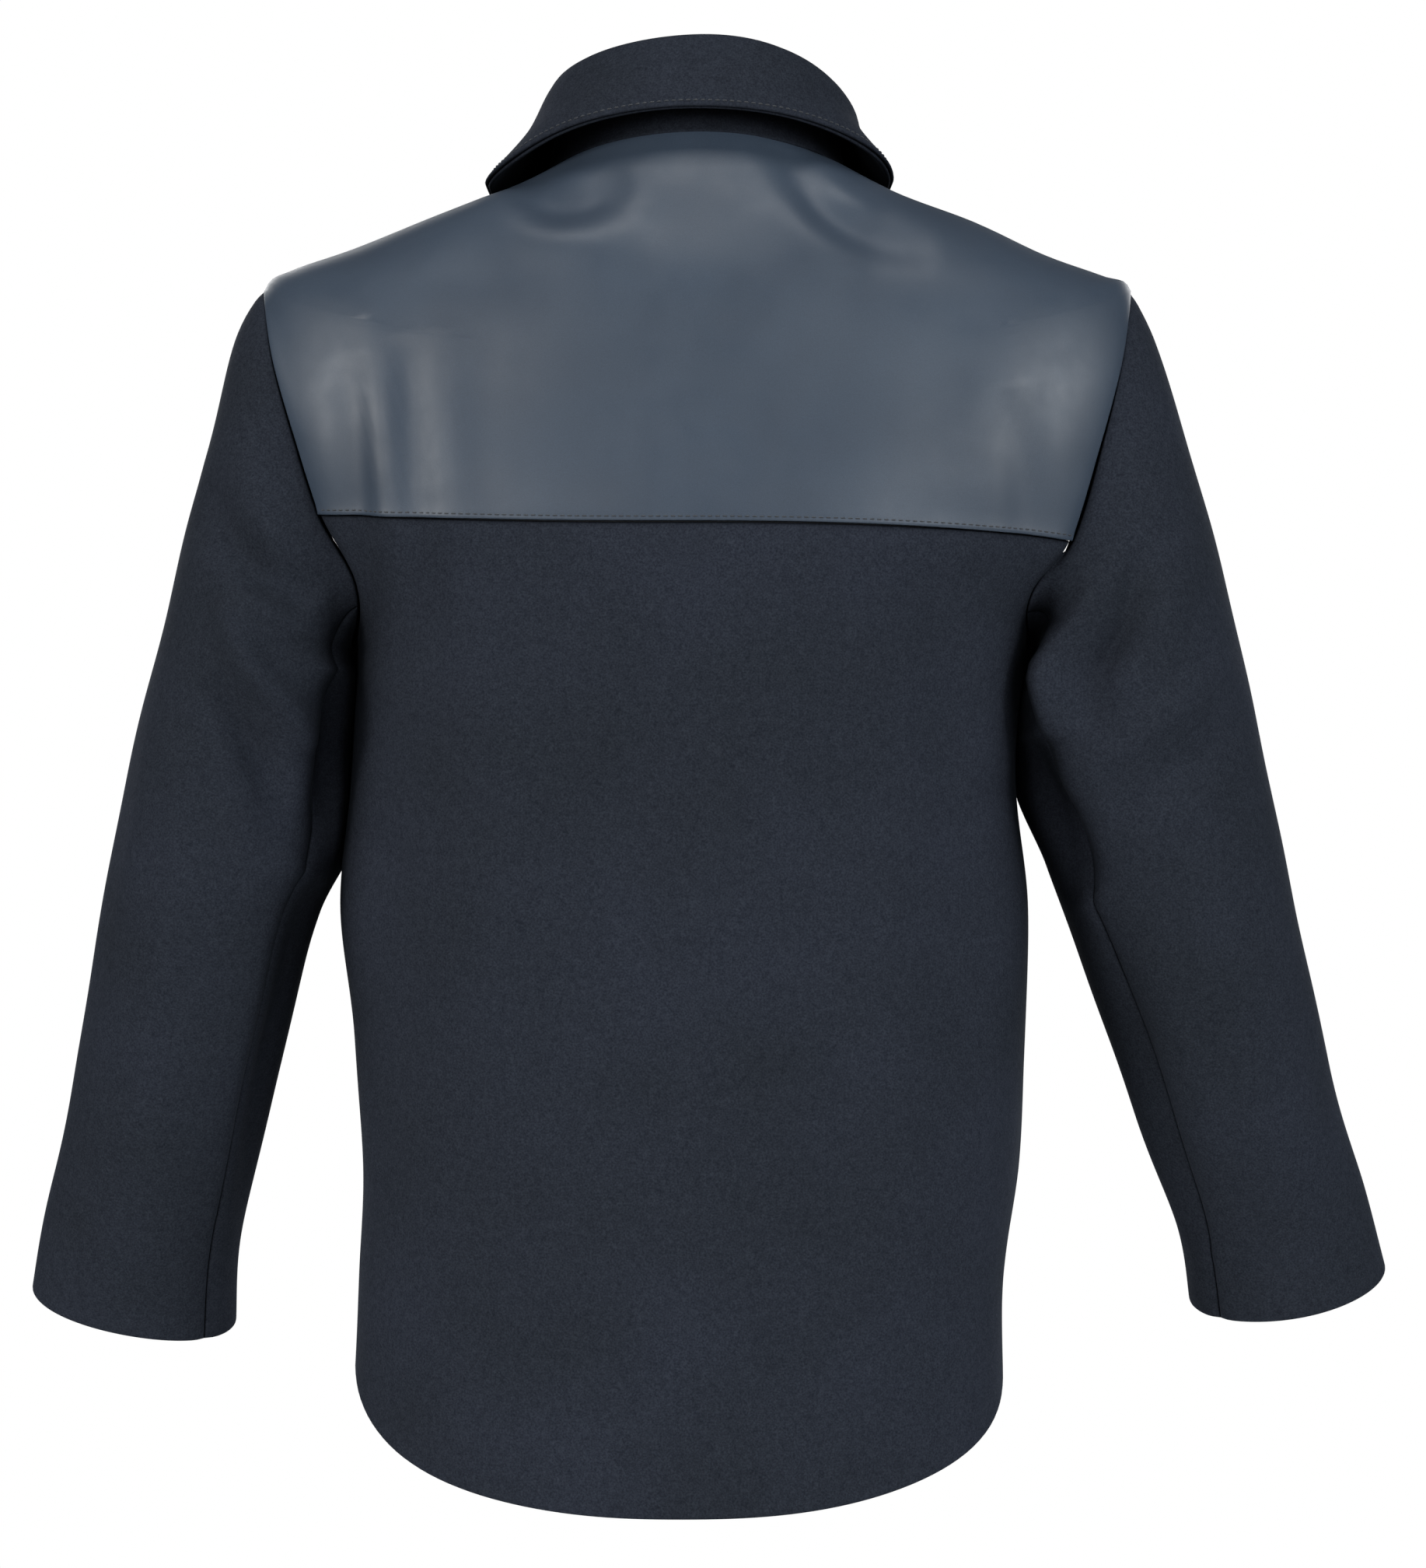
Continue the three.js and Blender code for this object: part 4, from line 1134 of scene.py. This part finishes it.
BUTTONHOLE = (12, 38)  # mm from the front's edge to its two ends
CLOSE_STITCH = ((0.25, -0.2), (0.7, 0.3), (1.6, 0.3), (2.2, -0.3))  # away from the slit, above the cloth
BUTTON = button_shape()
BUTTON_THREAD = button_thread()
for i in range(5):
    level = front_level_at(BUTTON_TOP - i * BUTTON_PITCH)
    fixed = level < FRONT_YOKE_SEAM
    angle = float(front_angle(level, FRONT_GAP / 2 + BUTTON_INSET))
    place, normal = (v[0] for v in drape("torso", np.array([level]), np.array([-angle])))
    rides = ["torso"] if fixed else ["front_right"]
    seat = place + normal * (GAP + ON_SHANK)
    add(new_object(f"button_disc_{i + 1}", *placed(BUTTON, seat, normal), "button"),
        rides, f"button_{i + 1}", sheet=False)
    foot = place + normal * 0.2
    add(new_object(f"button_thread_{i + 1}", *placed(BUTTON_THREAD, foot, normal), "thread"),
        rides, f"button_shank_{i + 1}", sheet=False)

    # the buttonhole opposite is a slit between two rows of close stitches
    reach = np.linspace(*BUTTONHOLE, 40)
    across = front_angle(level, FRONT_GAP / 2 + reach)
    middle, up = drape("torso", np.full_like(across, level), across)
    down = np.gradient(middle, axis=0)
    down = np.cross(down, up)
    down /= np.linalg.norm(down, axis=1, keepdims=True)
    parts = []
    for row in (-1, 1):
        for k in range(len(reach)):
            ends = [middle[k] + down[k] * row * d + up[k] * h for d, h in CLOSE_STITCH]
            parts.append(tube(ends, (0.3, 0.34, 0.34, 0.25)))
    for k in (0, -1):
        ends = [middle[k] + down[k] * d + up[k] * 0.25 for d in (-2.0, -0.7, 0.7, 2.0)]
        parts.append(tube(ends, (0.4, 0.55, 0.55, 0.4)))
    add(new_object(f"buttonhole_{i + 1}", *merged(parts), "thread"),
        ["torso"] if fixed else ["front_left"], sheet=False)

# ---- setting ------------------------------------------------------------------------------------


def area_light(name, place, target, size, power_w, colour):
    data = bpy.data.lights.new(name, "AREA")
    data.shape = "RECTANGLE"
    data.size, data.size_y = size
    data.energy = power_w
    data.color = colour
    obj = bpy.data.objects.new(name, data)
    bpy.context.scene.collection.objects.link(obj)
    obj.location = place
    obj.rotation_euler = (Vector(target) - Vector(place)).to_track_quat("-Z", "Y").to_euler()


MIDDLE = (0, 0, -0.4)
WARM = (1.0, 0.99, 0.97)
COOL = (0.95, 0.98, 1.0)
WHITE = (1, 1, 1)
for name, place, size, power_w, colour in (
    ("left_key", (2.8, 1.7, 0.45), (0.7, 1.1), 38, WARM),
    ("right_key", (-2.8, 1.7, 0.4), (0.7, 1.1), 38, COOL),
    ("left_gloss", (1.6, 2.8, 0.2), (0.7, 1.2), 22, WARM),
    ("right_gloss", (-1.6, 2.8, 0.2), (0.7, 1.2), 20, COOL),
    ("top_box", (0, 1.0, 2.3), (2.0, 1.0), 26, WHITE),
    ("front_left_box", (1.4, -2.9, 0.6), (1.2, 1.8), 32, WHITE),
    ("front_right_box", (-1.6, -2.8, 0.3), (1.2, 1.8), 26, WHITE),
):
    area_light(name, place, MIDDLE, size, power_w, colour)

world = bpy.data.worlds.new("studio")
world.use_nodes = True
tree = world.node_tree
backdrop = tree.nodes["Background"]
settle(backdrop, Color=(1, 1, 1, 1), Strength=1.0)
soft = tree.nodes.new("ShaderNodeBackground")
soft.inputs["Strength"].default_value = 0.06
height = tree.nodes.new("ShaderNodeSeparateXYZ")
tree.links.new(tree.nodes.new("ShaderNodeTexCoord").outputs["Generated"], height.inputs["Vector"])
shade = tree.nodes.new("ShaderNodeMapRange")
shade.inputs["From Min"].default_value = -1
tree.links.new(height.outputs["Z"], shade.inputs["Value"])
tree.links.new(ramp(tree, shade.outputs["Result"], [(0.2, (0.45, 0.46, 0.48)), (0.9, grey(1.0))]),
               soft.inputs["Color"])
choice = tree.nodes.new("ShaderNodeMixShader")
tree.links.new(tree.nodes.new("ShaderNodeLightPath").outputs["Is Camera Ray"], choice.inputs["Fac"])
tree.links.new(soft.outputs["Background"], choice.inputs[1])
tree.links.new(backdrop.outputs["Background"], choice.inputs[2])
tree.links.new(choice.outputs["Shader"], tree.nodes["World Output"].inputs["Surface"])
bpy.context.scene.world = world
bpy.context.scene.view_settings.view_transform = "Standard"

FLOOR_Z = -1.25
FLOOR_HALF = 1.5
floor_mesh = bpy.data.meshes.new("floor")
corners = [(-1, -1), (1, -1), (1, 1), (-1, 1)]
floor_mesh.from_pydata([(x * FLOOR_HALF, y * FLOOR_HALF, FLOOR_Z) for x, y in corners], [], [(0, 1, 2, 3)])
floor = bpy.data.objects.new("floor", floor_mesh)
bpy.context.scene.collection.objects.link(floor)
floor_material = bpy.data.materials.new("floor")
floor_material.use_nodes = True
settle(floor_material.node_tree.nodes["Principled BSDF"], Base_Color=(0.9, 0.9, 0.9, 1), Roughness=0.9)
floor_mesh.materials.append(floor_material)

camera_data = bpy.data.cameras.new("camera")
camera_data.lens = 88.7
camera_data.sensor_width = 36
camera = bpy.data.objects.new("camera", camera_data)
bpy.context.scene.collection.objects.link(camera)
camera.location = (-0.0092, 2.2588, -0.374)
camera.rotation_euler = (math.pi / 2, 0, math.pi)
bpy.context.scene.camera = camera
